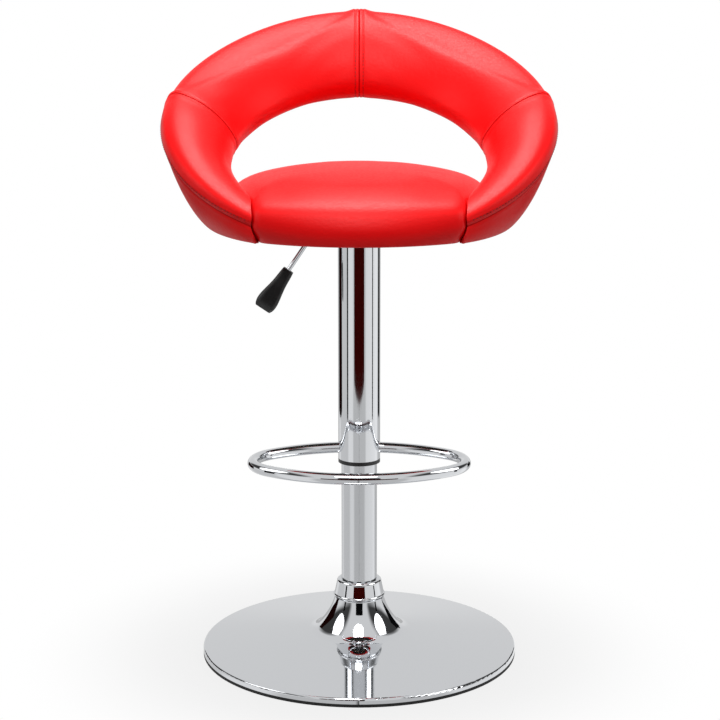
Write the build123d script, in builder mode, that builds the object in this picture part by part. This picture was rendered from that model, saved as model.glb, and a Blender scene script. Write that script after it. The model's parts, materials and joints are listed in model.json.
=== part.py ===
from build123d import *
import math
import os

# Bar stool with a padded crescent back, a gas lift column, a foot ring and a round trumpet base.
# Millimetres, +Z up, origin on the floor at the column's axis. The sitter faces -Y, and left and
# right are as seen from the front. The seat is modelled at the bottom of its lift.

os.makedirs("parts", exist_ok=True)

# Clearances
run_fit = 0.05  # radial, between parts that turn or slide on each other
slip_fit = 0.1  # radial, between parts that are pushed together and then fixed
soft_gap = 0.4  # between a padded piece and whatever it is shaped around

# Base
base_d = 410.0
base_sheet = 2.0
floor_ring_h = 4.0
floor_ring_w = 15.0
base_plate_t = 3.0
base_rim_h = 7.0
base_rim_round = 3.0
base_slope = 7.4  # degrees, of the shallow outer cone
neck_d = 64.0
neck_straight = 1.0
neck_lean = 15.0  # degrees from upright, of the bell's wall below the neck
bell_r = 85.0
foot_lean = 45.0  # degrees from upright, where the bell turns out into the cone
foot_r = 22.0
socket_wall = 6.0
socket_flange_d = 92.0
socket_flange_t = 5.0
socket_top = 68.0
base_bolt_d = 8.0
base_bolt_count = 4
base_bolt_head_d = 13.0
base_bolt_head_h = 5.0
collar_h = 24.0
collar_top_d = 52.0
collar_shoulder_d = 58.0
collar_bead_h = 5.0
collar_bead_out = 1.5
collar_shoulder_h = 4.0
collar_shoulder_round = 0.7  # where the rounded shoulder passes, as a share of its width and height

# Column and gas spring
standpipe_d = 46.0
standpipe_wall = 1.5
standpipe_top = 485.0
end_plate_z = 25.0
end_plate_t = 3.0
guide_len = 110.0
guide_flange_t = 3.0
bearing_washer_t = 2.0
bearing_ball_d = 6.0
bearing_ball_count = 9
bearing_pitch_d = 25.0
bearing_d = 38.0
bearing_cage_t = 3.0
buffer_d = 26.0
buffer_h = 12.0
buffer_gap = 0.4
rod_d = 10.0
rod_tail = 10.0  # below the end plate
rod_spare = 1.0  # radial room around the rod in the bearing
rod_clip_t = 1.5
rod_clip_d = 16.0
rod_clip_groove = 1.0
piston_z = 285.0
piston_h = 15.0
piston_seal_h = 4.0
piston_seal_groove = 2.0
cylinder_d = 28.0
cylinder_wall = 1.5
cylinder_taper = 0.028  # radius lost for each millimetre of height
cylinder_head = 2.0  # above the floor of the seat plate's dish
rod_guide_h = 22.0
rod_seal_h = 4.0
valve_block_h = 20.0
valve_pin_d = 6.0
sleeve_d = 54.0
sleeve_wall = 1.5
sleeve_bottom = 261.0
bush_flange_t = 5.0
bush_insert = 30.0

# Foot ring
foot_ring_rod_d = 14.0
foot_ring_half_w = 133.0
foot_ring_depth = 155.0
foot_ring_corner_r = 50.0
foot_ring_lift = 14.0  # centre line above the sleeve's lower end
foot_ring_hug = 0.75  # where the rod's ends start inside the sleeve, as a share of its radius

# Seat plate and lever
seat_over_pipe = 77.0  # from the top of the standpipe to the seat's underside
strap_t = 4.0
board_t = 12.0
plate_size = 160.0
plate_t = 2.5
plate_corner_r = 12.0
dish_size = 92.0
dish_depth = 20.0
dish_taper = 8.0  # degrees
dish_corner_r = 10.0
taper_socket_d = 40.0
taper_socket_len = 45.0
plate_screw_pitch = 128.0
screw_d = 6.0
screw_head_d = 11.0
screw_head_h = 3.3
screw_head_round = 2.0
washer_d = 13.0
washer_t = 1.2
tee_nut_d = 20.0
tee_nut_t = 1.4
tee_barrel_d = 8.4
lever_d = 6.0
lever_height = 10.5  # above the floor of the dish
lever_reach = 56.0  # from the column's axis to the bend
lever_tip = 7.0  # past the column's axis
lever_bend_r = 14.0
lever_drop = 56.0  # degrees below level
lever_leg = 60.0  # from the bend to the grip
lever_pivot_x = 33.0
lever_hub_d = 12.0
lever_hub_w = 10.0
lever_gap = 0.3
ear_t = 2.5
ear_w = 10.0
ear_foot_t = 2.0
pivot_pin_d = 5.0
pin_tail = 1.0  # past each clip
pin_clip_t = 0.8
pin_clip_d = 9.0
pin_clip_groove = 0.5
grip_len = 60.0
grip_neck_w = 14.0
grip_w = 26.0
grip_t = 13.0
grip_round = 0.42  # corner radius as a share of the thickness
grip_rod_depth = 40.0

# Seat cushion, board and dust cover
seat_front_half = 125.0
seat_rear_r = 166.0
seat_rear_y = 31.0
seat_side_bow = 2.0
seat_corner_y = -166.0
seat_front_y = -192.0
seat_h = 66.0  # from the underside to the top of the crown
crown_side = 62.0  # how far the crown runs in from the sides, the front corners and the front
crown_corner = 92.0
crown_front = 104.0
board_inset = 16.0
board_corner_in = 44.0
board_front_in = 34.0
dust_cover_t = 0.8
dust_cover_inset = 14.0
dust_window = 6.0  # margin around the seat plate

# Padded ring: arms and back, on a circle in a plane that leans up to the back
ring_r = 201.0
ring_y = 28.0
ring_rise = 117.0  # from the seat's underside to the ring's centre
ring_lean = 24.6  # degrees
pad_tilt = 30.5  # degrees, of the section's long axis
pad_side_half = 52.5  # half length of the section at the sides
pad_back_half = 63.0  # and at the back
pad_side_thick = 29.0  # half thickness at the sides
pad_back_thick = 32.0
pad_end_round = 0.7  # end radius as a share of the half thickness
pad_wave = 5.0  # how far the centre line leaves its plane
arm_front = 30.0  # degrees from the front, inside the seat's front corner
arm_end = 100.0  # degrees from the front, at the side seam
arm_fade = 60.0  # degrees over which the arm runs down into the seat
arm_web_full = 68.0  # degrees from the front, where the lower panel starts to rise
seam_round = 4.0
panel_bulge = 7.0
under_half_w = 190.0  # half axes of the oval at the arms' lower edge
under_half_d = 220.0
under_inner_r = 140.0
under_spare = 3.0  # depth trimmed off to leave the arms' underside flat
arm_tip_in = 2.0  # how far the arm's outer side draws in at its front end
arm_tip_drop = 28.0  # how far its outer side falls there
arm_tip_out = 50.0  # how far its inner side moves out there
arm_tip_rise = 14.0  # how far its inner side rises there
arm_tip_thin = 17.0  # half thickness lost there
arm_waist = 8.7  # how far the inner side is drawn out beside the seat
arm_waist_at = 76.5  # degrees from the front
arm_waist_spread = 28.5  # degrees to each side
arm_in_curve = 3.0  # powers by which these five grow towards the front
arm_drop_curve = 1.3
arm_out_curve = 1.6
arm_rise_curve = 2.0
arm_thin_curve = 1.2
pad_oval_most = 0.85  # largest half thickness as a share of the half length
roll_foot_along = 0.4  # where the lower panel leaves the roll, as shares of its half length
roll_foot_across = 0.97  # and of its half thickness
bulge_least = 0.35  # share of the panel's bulge left at the side seam

# Back frame inside the pads
frame_d = 19.0
frame_wall = 1.5
frame_end = 66.0  # degrees from the front
strap_angle = 69.5
strap_w = 24.0
strap_foot = 100.0
strap_bend_r = 4.0
strap_rise = 0.5  # above the tube's centre
strap_weld_gap = 0.6  # the tube curves towards the strap's edges by most of this
strap_screw_d = 4.0
strap_screw_head_d = 8.0
strap_screw_len = 12.0
strap_screw_first = 10.0
strap_screw_pitch = 22.0

# Worked out from the above
base_r = base_d / 2
base_plate_top = floor_ring_h + base_plate_t
standpipe_r = standpipe_d / 2
standpipe_bore = standpipe_r - standpipe_wall
sleeve_r = sleeve_d / 2
rod_r = rod_d / 2
cylinder_r = cylinder_d / 2
cylinder_bore = cylinder_r - cylinder_wall
seat_bottom = standpipe_top + seat_over_pipe
ring_z = seat_bottom + ring_rise
board_bottom = seat_bottom + strap_t
board_top = board_bottom + board_t
plate_bottom = board_bottom - plate_t
dish_top_face = board_bottom - dish_depth
dish_bottom_face = dish_top_face - plate_t
bearing_z = end_plate_z + end_plate_t
bearing_mid_z = bearing_z + bearing_washer_t + bearing_ball_d / 2
upper_washer_z = bearing_z + bearing_washer_t + bearing_ball_d
buffer_z = upper_washer_z + bearing_washer_t
cylinder_z = buffer_z + buffer_h + buffer_gap
socket_z = dish_bottom_face - taper_socket_len
cylinder_top = dish_top_face + cylinder_head
lever_z = dish_top_face + lever_height
foot_ring_z = sleeve_bottom + foot_ring_lift


def ring_body(outer_r, inner_r, bottom, height):
    """Adds a plain ring or tube about the column's axis to the part being built."""
    with BuildSketch(Plane.XY.offset(bottom)) as profile:
        Circle(outer_r)
        if inner_r > 0:
            Circle(inner_r, mode=Mode.SUBTRACT)
    extrude(profile.sketch, amount=height)


# Base: rubber ring, plate, trumpet shell and socket
with BuildPart() as base_floor_ring:
    ring_body(base_r, base_r - floor_ring_w, 0, floor_ring_h)
base_floor_ring.part.label = "base_floor_ring"
export_step(base_floor_ring.part, "parts/base_floor_ring.step")

base_bolt_circle = (socket_flange_d / 2 + standpipe_r + socket_wall) / 2

with BuildPart() as base_plate:
    ring_body(base_r - base_sheet - slip_fit, 0, floor_ring_h, base_plate_t)
    with Locations((0, 0, base_plate_top)):
        with PolarLocations(base_bolt_circle, base_bolt_count):
            Hole(base_bolt_d / 2 + slip_fit)
base_plate.part.label = "base_plate"
export_step(base_plate.part, "parts/base_plate.step")

neck_r = neck_d / 2
slope = math.radians(base_slope)
rim_top = floor_ring_h + base_rim_h
neck_turn = math.radians(neck_lean)
foot_turn = math.radians(foot_lean)
cone_turn = math.pi / 2 - slope
bell_mid = (neck_turn + foot_turn) / 2
foot_mid = (foot_turn + cone_turn) / 2
bell_foot_r = neck_r + bell_r * (math.cos(neck_turn) - math.cos(foot_turn))
flare_start_r = bell_foot_r + foot_r * (math.cos(foot_turn) - math.cos(cone_turn))
flare_start_z = rim_top + (base_r - flare_start_r) * math.tan(slope)
bell_foot_z = flare_start_z + foot_r * (math.sin(cone_turn) - math.sin(foot_turn))
bell_top_z = bell_foot_z + bell_r * (math.sin(foot_turn) - math.sin(neck_turn))
neck_top = bell_top_z + neck_straight

with BuildPart() as base_shell:
    with BuildSketch(Plane.XZ):
        with BuildLine():
            FilletPolyline(
                (base_r, floor_ring_h),
                (base_r, rim_top),
                (flare_start_r, flare_start_z),
                radius=base_rim_round,
            )
            ThreePointArc(
                (flare_start_r, flare_start_z),
                (
                    bell_foot_r + foot_r * (math.cos(foot_turn) - math.cos(foot_mid)),
                    bell_foot_z - foot_r * (math.sin(foot_mid) - math.sin(foot_turn)),
                ),
                (bell_foot_r, bell_foot_z),
            )
            ThreePointArc(
                (bell_foot_r, bell_foot_z),
                (
                    neck_r + bell_r * (math.cos(neck_turn) - math.cos(bell_mid)),
                    bell_top_z - bell_r * (math.sin(bell_mid) - math.sin(neck_turn)),
                ),
                (neck_r, bell_top_z),
            )
            Line((neck_r, bell_top_z), (neck_r, neck_top))
            offset(amount=base_sheet, side=Side.LEFT)
        make_face()
    revolve(axis=Axis.Z)
base_shell.part.label = "base_shell"
export_step(base_shell.part, "parts/base_shell.step")

with BuildPart() as base_socket:
    ring_body(socket_flange_d / 2, standpipe_r + slip_fit, base_plate_top, socket_flange_t)
    ring_body(standpipe_r + socket_wall, standpipe_r + slip_fit, base_plate_top, socket_top - base_plate_top)
    with Locations((0, 0, base_plate_top + socket_flange_t)):
        with PolarLocations(base_bolt_circle, base_bolt_count):
            Hole(base_bolt_d / 2 + slip_fit, depth=socket_flange_t)
base_socket.part.label = "base_socket"
export_step(base_socket.part, "parts/base_socket.step")

with BuildPart() as base_bolts:
    with BuildSketch(Plane.XY.offset(base_plate_top + socket_flange_t)):
        with PolarLocations(base_bolt_circle, base_bolt_count):
            RegularPolygon(base_bolt_head_d / 2, 6, major_radius=False)
    extrude(amount=base_bolt_head_h)
    with BuildSketch(Plane.XY.offset(floor_ring_h)):
        with PolarLocations(base_bolt_circle, base_bolt_count):
            Circle(base_bolt_d / 2)
    extrude(amount=base_plate_t + socket_flange_t)
base_bolts.part.label = "base_bolts"
export_step(base_bolts.part, "parts/base_bolts.step")

collar_bore = standpipe_r + slip_fit
collar_band_top = neck_top + collar_h - collar_shoulder_h

with BuildPart() as base_collar:
    with BuildSketch(Plane.XZ):
        with BuildLine():
            Polyline((collar_bore, neck_top), (neck_r, neck_top))
            ThreePointArc(
                (neck_r, neck_top),
                (neck_r + collar_bead_out, neck_top + collar_bead_h / 2),
                (neck_r, neck_top + collar_bead_h),
            )
            Line((neck_r, neck_top + collar_bead_h), (collar_shoulder_d / 2, collar_band_top))
            ThreePointArc(
                (collar_shoulder_d / 2, collar_band_top),
                (
                    collar_top_d / 2 + (collar_shoulder_d - collar_top_d) / 2 * collar_shoulder_round,
                    collar_band_top + collar_shoulder_h * collar_shoulder_round,
                ),
                (collar_top_d / 2, neck_top + collar_h),
            )
            Polyline(
                (collar_top_d / 2, neck_top + collar_h),
                (collar_bore, neck_top + collar_h),
                (collar_bore, neck_top),
            )
        make_face()
    revolve(axis=Axis.Z)
base_collar.part.label = "base_collar"
export_step(base_collar.part, "parts/base_collar.step")

# Standpipe with its guide, end plate and thrust bearing
with BuildPart() as standpipe:
    ring_body(standpipe_r, standpipe_bore, base_plate_top, standpipe_top - base_plate_top)
standpipe.part.label = "standpipe"
export_step(standpipe.part, "parts/standpipe.step")

with BuildPart() as standpipe_end_plate:
    ring_body(standpipe_bore - slip_fit, rod_r + run_fit, end_plate_z, end_plate_t)
standpipe_end_plate.part.label = "standpipe_end_plate"
export_step(standpipe_end_plate.part, "parts/standpipe_end_plate.step")

with BuildPart() as standpipe_guide:
    ring_body(standpipe_bore - slip_fit, cylinder_r + run_fit, standpipe_top - guide_len, guide_len)
    ring_body(standpipe_r, cylinder_r + run_fit, standpipe_top, guide_flange_t)
standpipe_guide.part.label = "standpipe_guide"
export_step(standpipe_guide.part, "parts/standpipe_guide.step")

bearing_r = bearing_d / 2
rod_room = rod_r + rod_spare

with BuildPart() as bearing_lower_washer:
    ring_body(bearing_r, rod_room, bearing_z, bearing_washer_t)
bearing_lower_washer.part.label = "bearing_lower_washer"
export_step(bearing_lower_washer.part, "parts/bearing_lower_washer.step")

with BuildPart() as bearing_upper_washer:
    ring_body(bearing_r, rod_r + slip_fit, upper_washer_z, bearing_washer_t)
bearing_upper_washer.part.label = "bearing_upper_washer"
export_step(bearing_upper_washer.part, "parts/bearing_upper_washer.step")

with BuildPart() as bearing_cage:
    ring_body(bearing_r - run_fit, rod_room, bearing_mid_z - bearing_cage_t / 2, bearing_cage_t)
    with Locations((0, 0, bearing_mid_z + bearing_cage_t / 2)):
        with PolarLocations(bearing_pitch_d / 2, bearing_ball_count):
            Hole(bearing_ball_d / 2 + slip_fit)
bearing_cage.part.label = "bearing_cage"
export_step(bearing_cage.part, "parts/bearing_cage.step")

with BuildPart() as bearing_balls:
    with Locations((0, 0, bearing_mid_z)):
        with PolarLocations(bearing_pitch_d / 2, bearing_ball_count):
            Sphere(bearing_ball_d / 2 - run_fit)
bearing_balls.part.label = "bearing_balls"
export_step(bearing_balls.part, "parts/bearing_balls.step")

# Piston rod, which turns in the end plate and stays down when the seat rises
clip_z = end_plate_z - slip_fit - rod_clip_t
groove_r = rod_r - rod_clip_groove

with BuildPart() as piston_rod:
    ring_body(rod_r, 0, end_plate_z - rod_tail, piston_z + piston_h - end_plate_z + rod_tail)
    with BuildSketch(Plane.XY.offset(clip_z)):
        Circle(rod_d)
        Circle(groove_r, mode=Mode.SUBTRACT)
    extrude(amount=rod_clip_t, mode=Mode.SUBTRACT)
piston_rod.part.label = "piston_rod"
export_step(piston_rod.part, "parts/piston_rod.step")

with BuildPart() as rod_clip:
    with BuildSketch(Plane.XY.offset(clip_z + slip_fit / 2)):
        Circle(rod_clip_d / 2)
        Circle(groove_r + slip_fit, mode=Mode.SUBTRACT)
        with Locations((0, rod_clip_d / 2)):
            Rectangle(2 * groove_r, rod_clip_d, mode=Mode.SUBTRACT)
    extrude(amount=rod_clip_t - slip_fit)
rod_clip.part.label = "rod_clip"
export_step(rod_clip.part, "parts/rod_clip.step")

with BuildPart() as rubber_buffer:
    ring_body(buffer_d / 2, rod_r + slip_fit, buffer_z, buffer_h)
rubber_buffer.part.label = "rubber_buffer"
export_step(rubber_buffer.part, "parts/rubber_buffer.step")

seal_z = piston_z + (piston_h - piston_seal_h) / 2
seal_inner = cylinder_bore - piston_seal_groove

with BuildPart() as piston_head:
    ring_body(cylinder_bore - run_fit, rod_r + slip_fit, piston_z, piston_h)
    with BuildSketch(Plane.XY.offset(seal_z)):
        Circle(cylinder_bore)
        Circle(seal_inner, mode=Mode.SUBTRACT)
    extrude(amount=piston_seal_h, mode=Mode.SUBTRACT)
piston_head.part.label = "piston_head"
export_step(piston_head.part, "parts/piston_head.step")

with BuildPart() as piston_seal:
    ring_body(cylinder_bore - run_fit / 2, seal_inner + slip_fit, seal_z, piston_seal_h)
piston_seal.part.label = "piston_seal"
export_step(piston_seal.part, "parts/piston_seal.step")

# Gas cylinder, which carries the seat on its taper
cylinder_roof = socket_z - cylinder_wall
taper_top_r = cylinder_r - cylinder_taper * (cylinder_top - socket_z)

with BuildPart() as gas_cylinder:
    with BuildSketch(Plane.XZ):
        Polygon(
            (cylinder_bore, cylinder_z),
            (cylinder_r, cylinder_z),
            (cylinder_r, socket_z),
            (taper_top_r, cylinder_top),
            (valve_pin_d / 2 + run_fit, cylinder_top),
            (valve_pin_d / 2 + run_fit, cylinder_roof),
            (cylinder_bore, cylinder_roof),
            align=None,
        )
    revolve(axis=Axis.Z)
gas_cylinder.part.label = "gas_cylinder"
export_step(gas_cylinder.part, "parts/gas_cylinder.step")

with BuildPart() as cylinder_rod_guide:
    ring_body(cylinder_bore - slip_fit, rod_r + run_fit, cylinder_z, rod_guide_h)
cylinder_rod_guide.part.label = "cylinder_rod_guide"
export_step(cylinder_rod_guide.part, "parts/cylinder_rod_guide.step")

with BuildPart() as cylinder_rod_seal:
    ring_body(cylinder_bore - slip_fit, rod_r + run_fit, cylinder_z + rod_guide_h, rod_seal_h)
cylinder_rod_seal.part.label = "cylinder_rod_seal"
export_step(cylinder_rod_seal.part, "parts/cylinder_rod_seal.step")

with BuildPart() as valve_block:
    ring_body(
        cylinder_bore - slip_fit,
        valve_pin_d / 2 + run_fit,
        cylinder_roof - valve_block_h,
        valve_block_h,
    )
valve_block.part.label = "valve_block"
export_step(valve_block.part, "parts/valve_block.step")

pin_top = lever_z - lever_d / 2 - lever_gap
pin_bottom = cylinder_roof - valve_block_h / 2

with BuildPart() as valve_pin:
    ring_body(valve_pin_d / 2, 0, pin_bottom, pin_top - pin_bottom)
    chamfer(valve_pin.edges().sort_by(Axis.Z)[-1], length=valve_pin_d / 6)
valve_pin.part.label = "valve_pin"
export_step(valve_pin.part, "parts/valve_pin.step")

# Sleeve with its bush, and the foot ring welded to its sides
with BuildPart() as sleeve:
    ring_body(sleeve_r, sleeve_r - sleeve_wall, sleeve_bottom, dish_bottom_face - sleeve_bottom)
sleeve.part.label = "sleeve"
export_step(sleeve.part, "parts/sleeve.step")

with BuildPart() as sleeve_bush:
    ring_body(sleeve_r, standpipe_r + run_fit, sleeve_bottom - bush_flange_t, bush_flange_t)
    ring_body(sleeve_r - sleeve_wall - slip_fit, standpipe_r + run_fit, sleeve_bottom, bush_insert)
sleeve_bush.part.label = "sleeve_bush"
export_step(sleeve_bush.part, "parts/sleeve_bush.step")

ring_half_d = foot_ring_depth / 2
ring_side_x = foot_ring_half_w - foot_ring_corner_r
ring_slack = ring_half_d - foot_ring_corner_r
ring_arc_drop = (ring_side_x**2 - ring_slack**2) / (2 * ring_slack)
ring_arc_r = ring_half_d + ring_arc_drop
ring_joint_share = foot_ring_corner_r / (ring_arc_r - foot_ring_corner_r)
ring_joint_x = ring_side_x * (1 + ring_joint_share)
ring_joint_y = ring_arc_drop * ring_joint_share
ring_start_x = sleeve_r * foot_ring_hug
ring_start_y = math.sqrt(ring_arc_r**2 - ring_start_x**2) - ring_arc_drop
ring_mid_x = (ring_start_x + ring_joint_x) / 2
ring_mid_y = math.sqrt(ring_arc_r**2 - ring_mid_x**2) - ring_arc_drop

with BuildPart() as foot_ring:
    with BuildLine(Plane((0, -ring_half_d, foot_ring_z))) as foot_ring_path:
        ThreePointArc((-ring_start_x, ring_start_y), (-ring_mid_x, ring_mid_y), (-ring_joint_x, ring_joint_y))
        ThreePointArc((-ring_joint_x, ring_joint_y), (-foot_ring_half_w, 0), (-ring_joint_x, -ring_joint_y))
        ThreePointArc((-ring_joint_x, -ring_joint_y), (0, -ring_half_d), (ring_joint_x, -ring_joint_y))
        ThreePointArc((ring_joint_x, -ring_joint_y), (foot_ring_half_w, 0), (ring_joint_x, ring_joint_y))
        ThreePointArc((ring_joint_x, ring_joint_y), (ring_mid_x, ring_mid_y), (ring_start_x, ring_start_y))
    with BuildSketch(Plane(foot_ring_path.line @ 0, z_dir=foot_ring_path.line % 0)):
        Circle(foot_ring_rod_d / 2)
    sweep()
    with Locations((0, 0, foot_ring_z)):
        Cylinder(sleeve_r + run_fit, 3 * foot_ring_rod_d, mode=Mode.SUBTRACT)
foot_ring.part.label = "foot_ring"
export_step(foot_ring.part, "parts/foot_ring.step")

# Seat plate: a pressed dish that takes the cylinder's taper and holds the lever
dish_half = dish_size / 2
dish_wall_run = dish_depth * math.tan(math.radians(dish_taper))
dish_floor_half = dish_half - dish_wall_run

with BuildPart() as seat_plate:
    with BuildSketch(Plane.XY.offset(plate_bottom)):
        RectangleRounded(plate_size, plate_size, plate_corner_r)
    extrude(amount=plate_t)
    with BuildSketch(Plane.XY.offset(board_bottom)):
        RectangleRounded(dish_size, dish_size, dish_corner_r)
    extrude(amount=-(dish_depth + plate_t), taper=dish_taper)
    with BuildSketch(Plane.XY.offset(board_bottom)):
        RectangleRounded(dish_size - 2 * plate_t, dish_size - 2 * plate_t, dish_corner_r - plate_t)
    extrude(amount=-dish_depth, taper=dish_taper, mode=Mode.SUBTRACT)
    with Locations((0, 0, board_bottom)):
        Hole(cylinder_r + slip_fit)
        with GridLocations(plate_screw_pitch, plate_screw_pitch, 2, 2):
            Hole(screw_d / 2 + slip_fit)
    with Locations((-dish_half, 0, lever_z)):
        Box(dish_half, 2 * lever_d, 2 * lever_d, mode=Mode.SUBTRACT)
seat_plate.part.label = "seat_plate"
export_step(seat_plate.part, "parts/seat_plate.step")

with BuildPart() as taper_socket:
    with BuildSketch(Plane.XZ):
        Polygon(
            (cylinder_r + run_fit, socket_z),
            (taper_socket_d / 2, socket_z),
            (taper_socket_d / 2, dish_bottom_face),
            (cylinder_r + run_fit - cylinder_taper * taper_socket_len, dish_bottom_face),
            align=None,
        )
    revolve(axis=Axis.Z)
taper_socket.part.label = "taper_socket"
export_step(taper_socket.part, "parts/taper_socket.step")

# Screws, washers and tee nuts that hold the plate to the board
with BuildPart() as plate_washers:
    with BuildSketch(Plane.XY.offset(plate_bottom - washer_t)):
        with GridLocations(plate_screw_pitch, plate_screw_pitch, 2, 2):
            Circle(washer_d / 2)
            Circle(screw_d / 2 + slip_fit, mode=Mode.SUBTRACT)
    extrude(amount=washer_t)
plate_washers.part.label = "plate_washers"
export_step(plate_washers.part, "parts/plate_washers.step")

screw_head_z = plate_bottom - washer_t

with BuildPart() as plate_screws:
    with BuildSketch(Plane.XY.offset(screw_head_z - screw_head_h)):
        with GridLocations(plate_screw_pitch, plate_screw_pitch, 2, 2):
            Circle(screw_head_d / 2)
    extrude(amount=screw_head_h)
    fillet(plate_screws.edges().group_by(Axis.Z)[0], radius=screw_head_round)
    with BuildSketch(Plane.XY.offset(screw_head_z)):
        with GridLocations(plate_screw_pitch, plate_screw_pitch, 2, 2):
            Circle(screw_d / 2)
    extrude(amount=board_top - screw_head_z)
    with Locations((0, 0, screw_head_z - screw_head_h)):
        with GridLocations(plate_screw_pitch, plate_screw_pitch, 2, 2):
            Cylinder(screw_d / 4, screw_head_h, mode=Mode.SUBTRACT)
plate_screws.part.label = "plate_screws"
export_step(plate_screws.part, "parts/plate_screws.step")

with BuildPart() as tee_nuts:
    with BuildSketch(Plane.XY.offset(board_bottom)):
        with GridLocations(plate_screw_pitch, plate_screw_pitch, 2, 2):
            Circle(tee_barrel_d / 2)
    extrude(amount=board_t)
    with BuildSketch(Plane.XY.offset(board_top)):
        with GridLocations(plate_screw_pitch, plate_screw_pitch, 2, 2):
            Circle(tee_nut_d / 2)
    extrude(amount=tee_nut_t)
    with Locations((0, 0, board_top + tee_nut_t)):
        with GridLocations(plate_screw_pitch, plate_screw_pitch, 2, 2):
            Hole(screw_d / 2 + run_fit)
tee_nuts.part.label = "tee_nuts"
export_step(tee_nuts.part, "parts/tee_nuts.step")

# Lever bracket, pivot pin and clips
ear_y = lever_hub_w / 2 + lever_gap
ear_h = lever_height + ear_w / 2

with BuildPart() as lever_bracket:
    with Locations((-lever_pivot_x, 0, dish_top_face)):
        Box(ear_w, 2 * (ear_y + ear_t), ear_foot_t, align=(Align.CENTER, Align.CENTER, Align.MIN))
    for side in (-1, 1):
        with Locations((-lever_pivot_x, side * (ear_y + ear_t / 2), dish_top_face)):
            Box(ear_w, ear_t, ear_h, align=(Align.CENTER, Align.CENTER, Align.MIN))
    with Locations((-lever_pivot_x, 0, lever_z)):
        Cylinder(
            pivot_pin_d / 2 + slip_fit, 4 * (ear_y + ear_t), rotation=(90, 0, 0), mode=Mode.SUBTRACT
        )
lever_bracket.part.label = "lever_bracket"
export_step(lever_bracket.part, "parts/lever_bracket.step")

clip_y = ear_y + ear_t + slip_fit
pin_half = clip_y + pin_clip_t + pin_tail
pin_plane = Plane((-lever_pivot_x, 0, lever_z), x_dir=(1, 0, 0), z_dir=(0, 1, 0))
pin_groove_r = pivot_pin_d / 2 - pin_clip_groove

with BuildPart() as lever_pin:
    with BuildSketch(pin_plane):
        Circle(pivot_pin_d / 2)
    extrude(amount=pin_half, both=True)
    for side in (-1, 1):
        with BuildSketch(pin_plane.offset(side * (clip_y + pin_clip_t / 2))):
            Circle(pivot_pin_d)
            Circle(pin_groove_r, mode=Mode.SUBTRACT)
        extrude(amount=pin_clip_t / 2, both=True, mode=Mode.SUBTRACT)
lever_pin.part.label = "lever_pin"
export_step(lever_pin.part, "parts/lever_pin.step")

with BuildPart() as lever_pin_clips:
    for side in (-1, 1):
        with BuildSketch(pin_plane.offset(side * (clip_y + pin_clip_t / 2))):
            Circle(pin_clip_d / 2)
            Circle(pin_groove_r + slip_fit, mode=Mode.SUBTRACT)
            with Locations((0, pin_clip_d / 2)):
                Rectangle(2 * pin_groove_r, pin_clip_d, mode=Mode.SUBTRACT)
        extrude(amount=(pin_clip_t - slip_fit) / 2, both=True)
lever_pin_clips.part.label = "lever_pin_clips"
export_step(lever_pin_clips.part, "parts/lever_pin_clips.step")

# Lever rod and its moulded grip
drop = math.radians(lever_drop)
drop_dir = Vector(-math.cos(drop), 0, -math.sin(drop))
lever_bend = Vector(-lever_reach, 0, lever_z)
grip_start = lever_bend + drop_dir * lever_leg
rod_end = grip_start + drop_dir * grip_rod_depth

with BuildPart() as lever_rod:
    with BuildLine() as lever_path:
        FilletPolyline((lever_tip, 0, lever_z), lever_bend, rod_end, radius=lever_bend_r)
    with BuildSketch(Plane(lever_path.line @ 0, z_dir=lever_path.line % 0)):
        Circle(lever_d / 2)
    sweep()
    with BuildSketch(pin_plane):
        Circle(lever_hub_d / 2)
    extrude(amount=lever_hub_w / 2, both=True)
    with BuildSketch(pin_plane):
        Circle(pivot_pin_d / 2 + run_fit)
    extrude(amount=lever_hub_w, both=True, mode=Mode.SUBTRACT)
lever_rod.part.label = "lever_rod"
export_step(lever_rod.part, "parts/lever_rod.step")

# Share of the grip's length, and its width and thickness there as shares of the largest
grip_stations = ((0.0, 0.0, 0.62), (0.3, 0.3, 0.84), (0.72, 1.0, 1.0), (0.93, 0.94, 0.86), (1.0, 0.6, 0.5))

with BuildPart() as lever_grip:
    for along, swell, thick in grip_stations:
        grip_at = grip_start + drop_dir * (grip_len * along)
        station_w = grip_neck_w + (grip_w - grip_neck_w) * swell
        station_t = grip_t * thick
        with BuildSketch(Plane(grip_at, x_dir=(math.sin(drop), 0, -math.cos(drop)), z_dir=drop_dir)):
            RectangleRounded(station_w, station_t, station_t * grip_round)
    loft()
    with BuildSketch(Plane(grip_start, z_dir=drop_dir)):
        Circle(lever_d / 2 + slip_fit)
    extrude(amount=grip_rod_depth + slip_fit, mode=Mode.SUBTRACT)
lever_grip.part.label = "lever_grip"
export_step(lever_grip.part, "parts/lever_grip.step")


# Seat cushion on its board
def seat_outline(inset, corner_y, front_y):
    """Draws the seat's plan: a bowed front, two sides that close towards it and a round rear."""
    front_x = seat_front_half - inset / 4
    rear_r = seat_rear_r - inset
    diagonal = rear_r * math.sqrt(0.5)
    bow_x = (front_x + rear_r) / 2 + seat_side_bow
    bow_y = (corner_y + seat_rear_y) / 2
    ThreePointArc((-front_x, corner_y), (0, front_y), (front_x, corner_y))
    ThreePointArc((front_x, corner_y), (bow_x, bow_y), (rear_r, seat_rear_y))
    ThreePointArc((rear_r, seat_rear_y), (diagonal, seat_rear_y + diagonal), (0, seat_rear_y + rear_r))
    ThreePointArc((0, seat_rear_y + rear_r), (-diagonal, seat_rear_y + diagonal), (-rear_r, seat_rear_y))
    ThreePointArc((-rear_r, seat_rear_y), (-bow_x, bow_y), (-front_x, corner_y))


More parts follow.
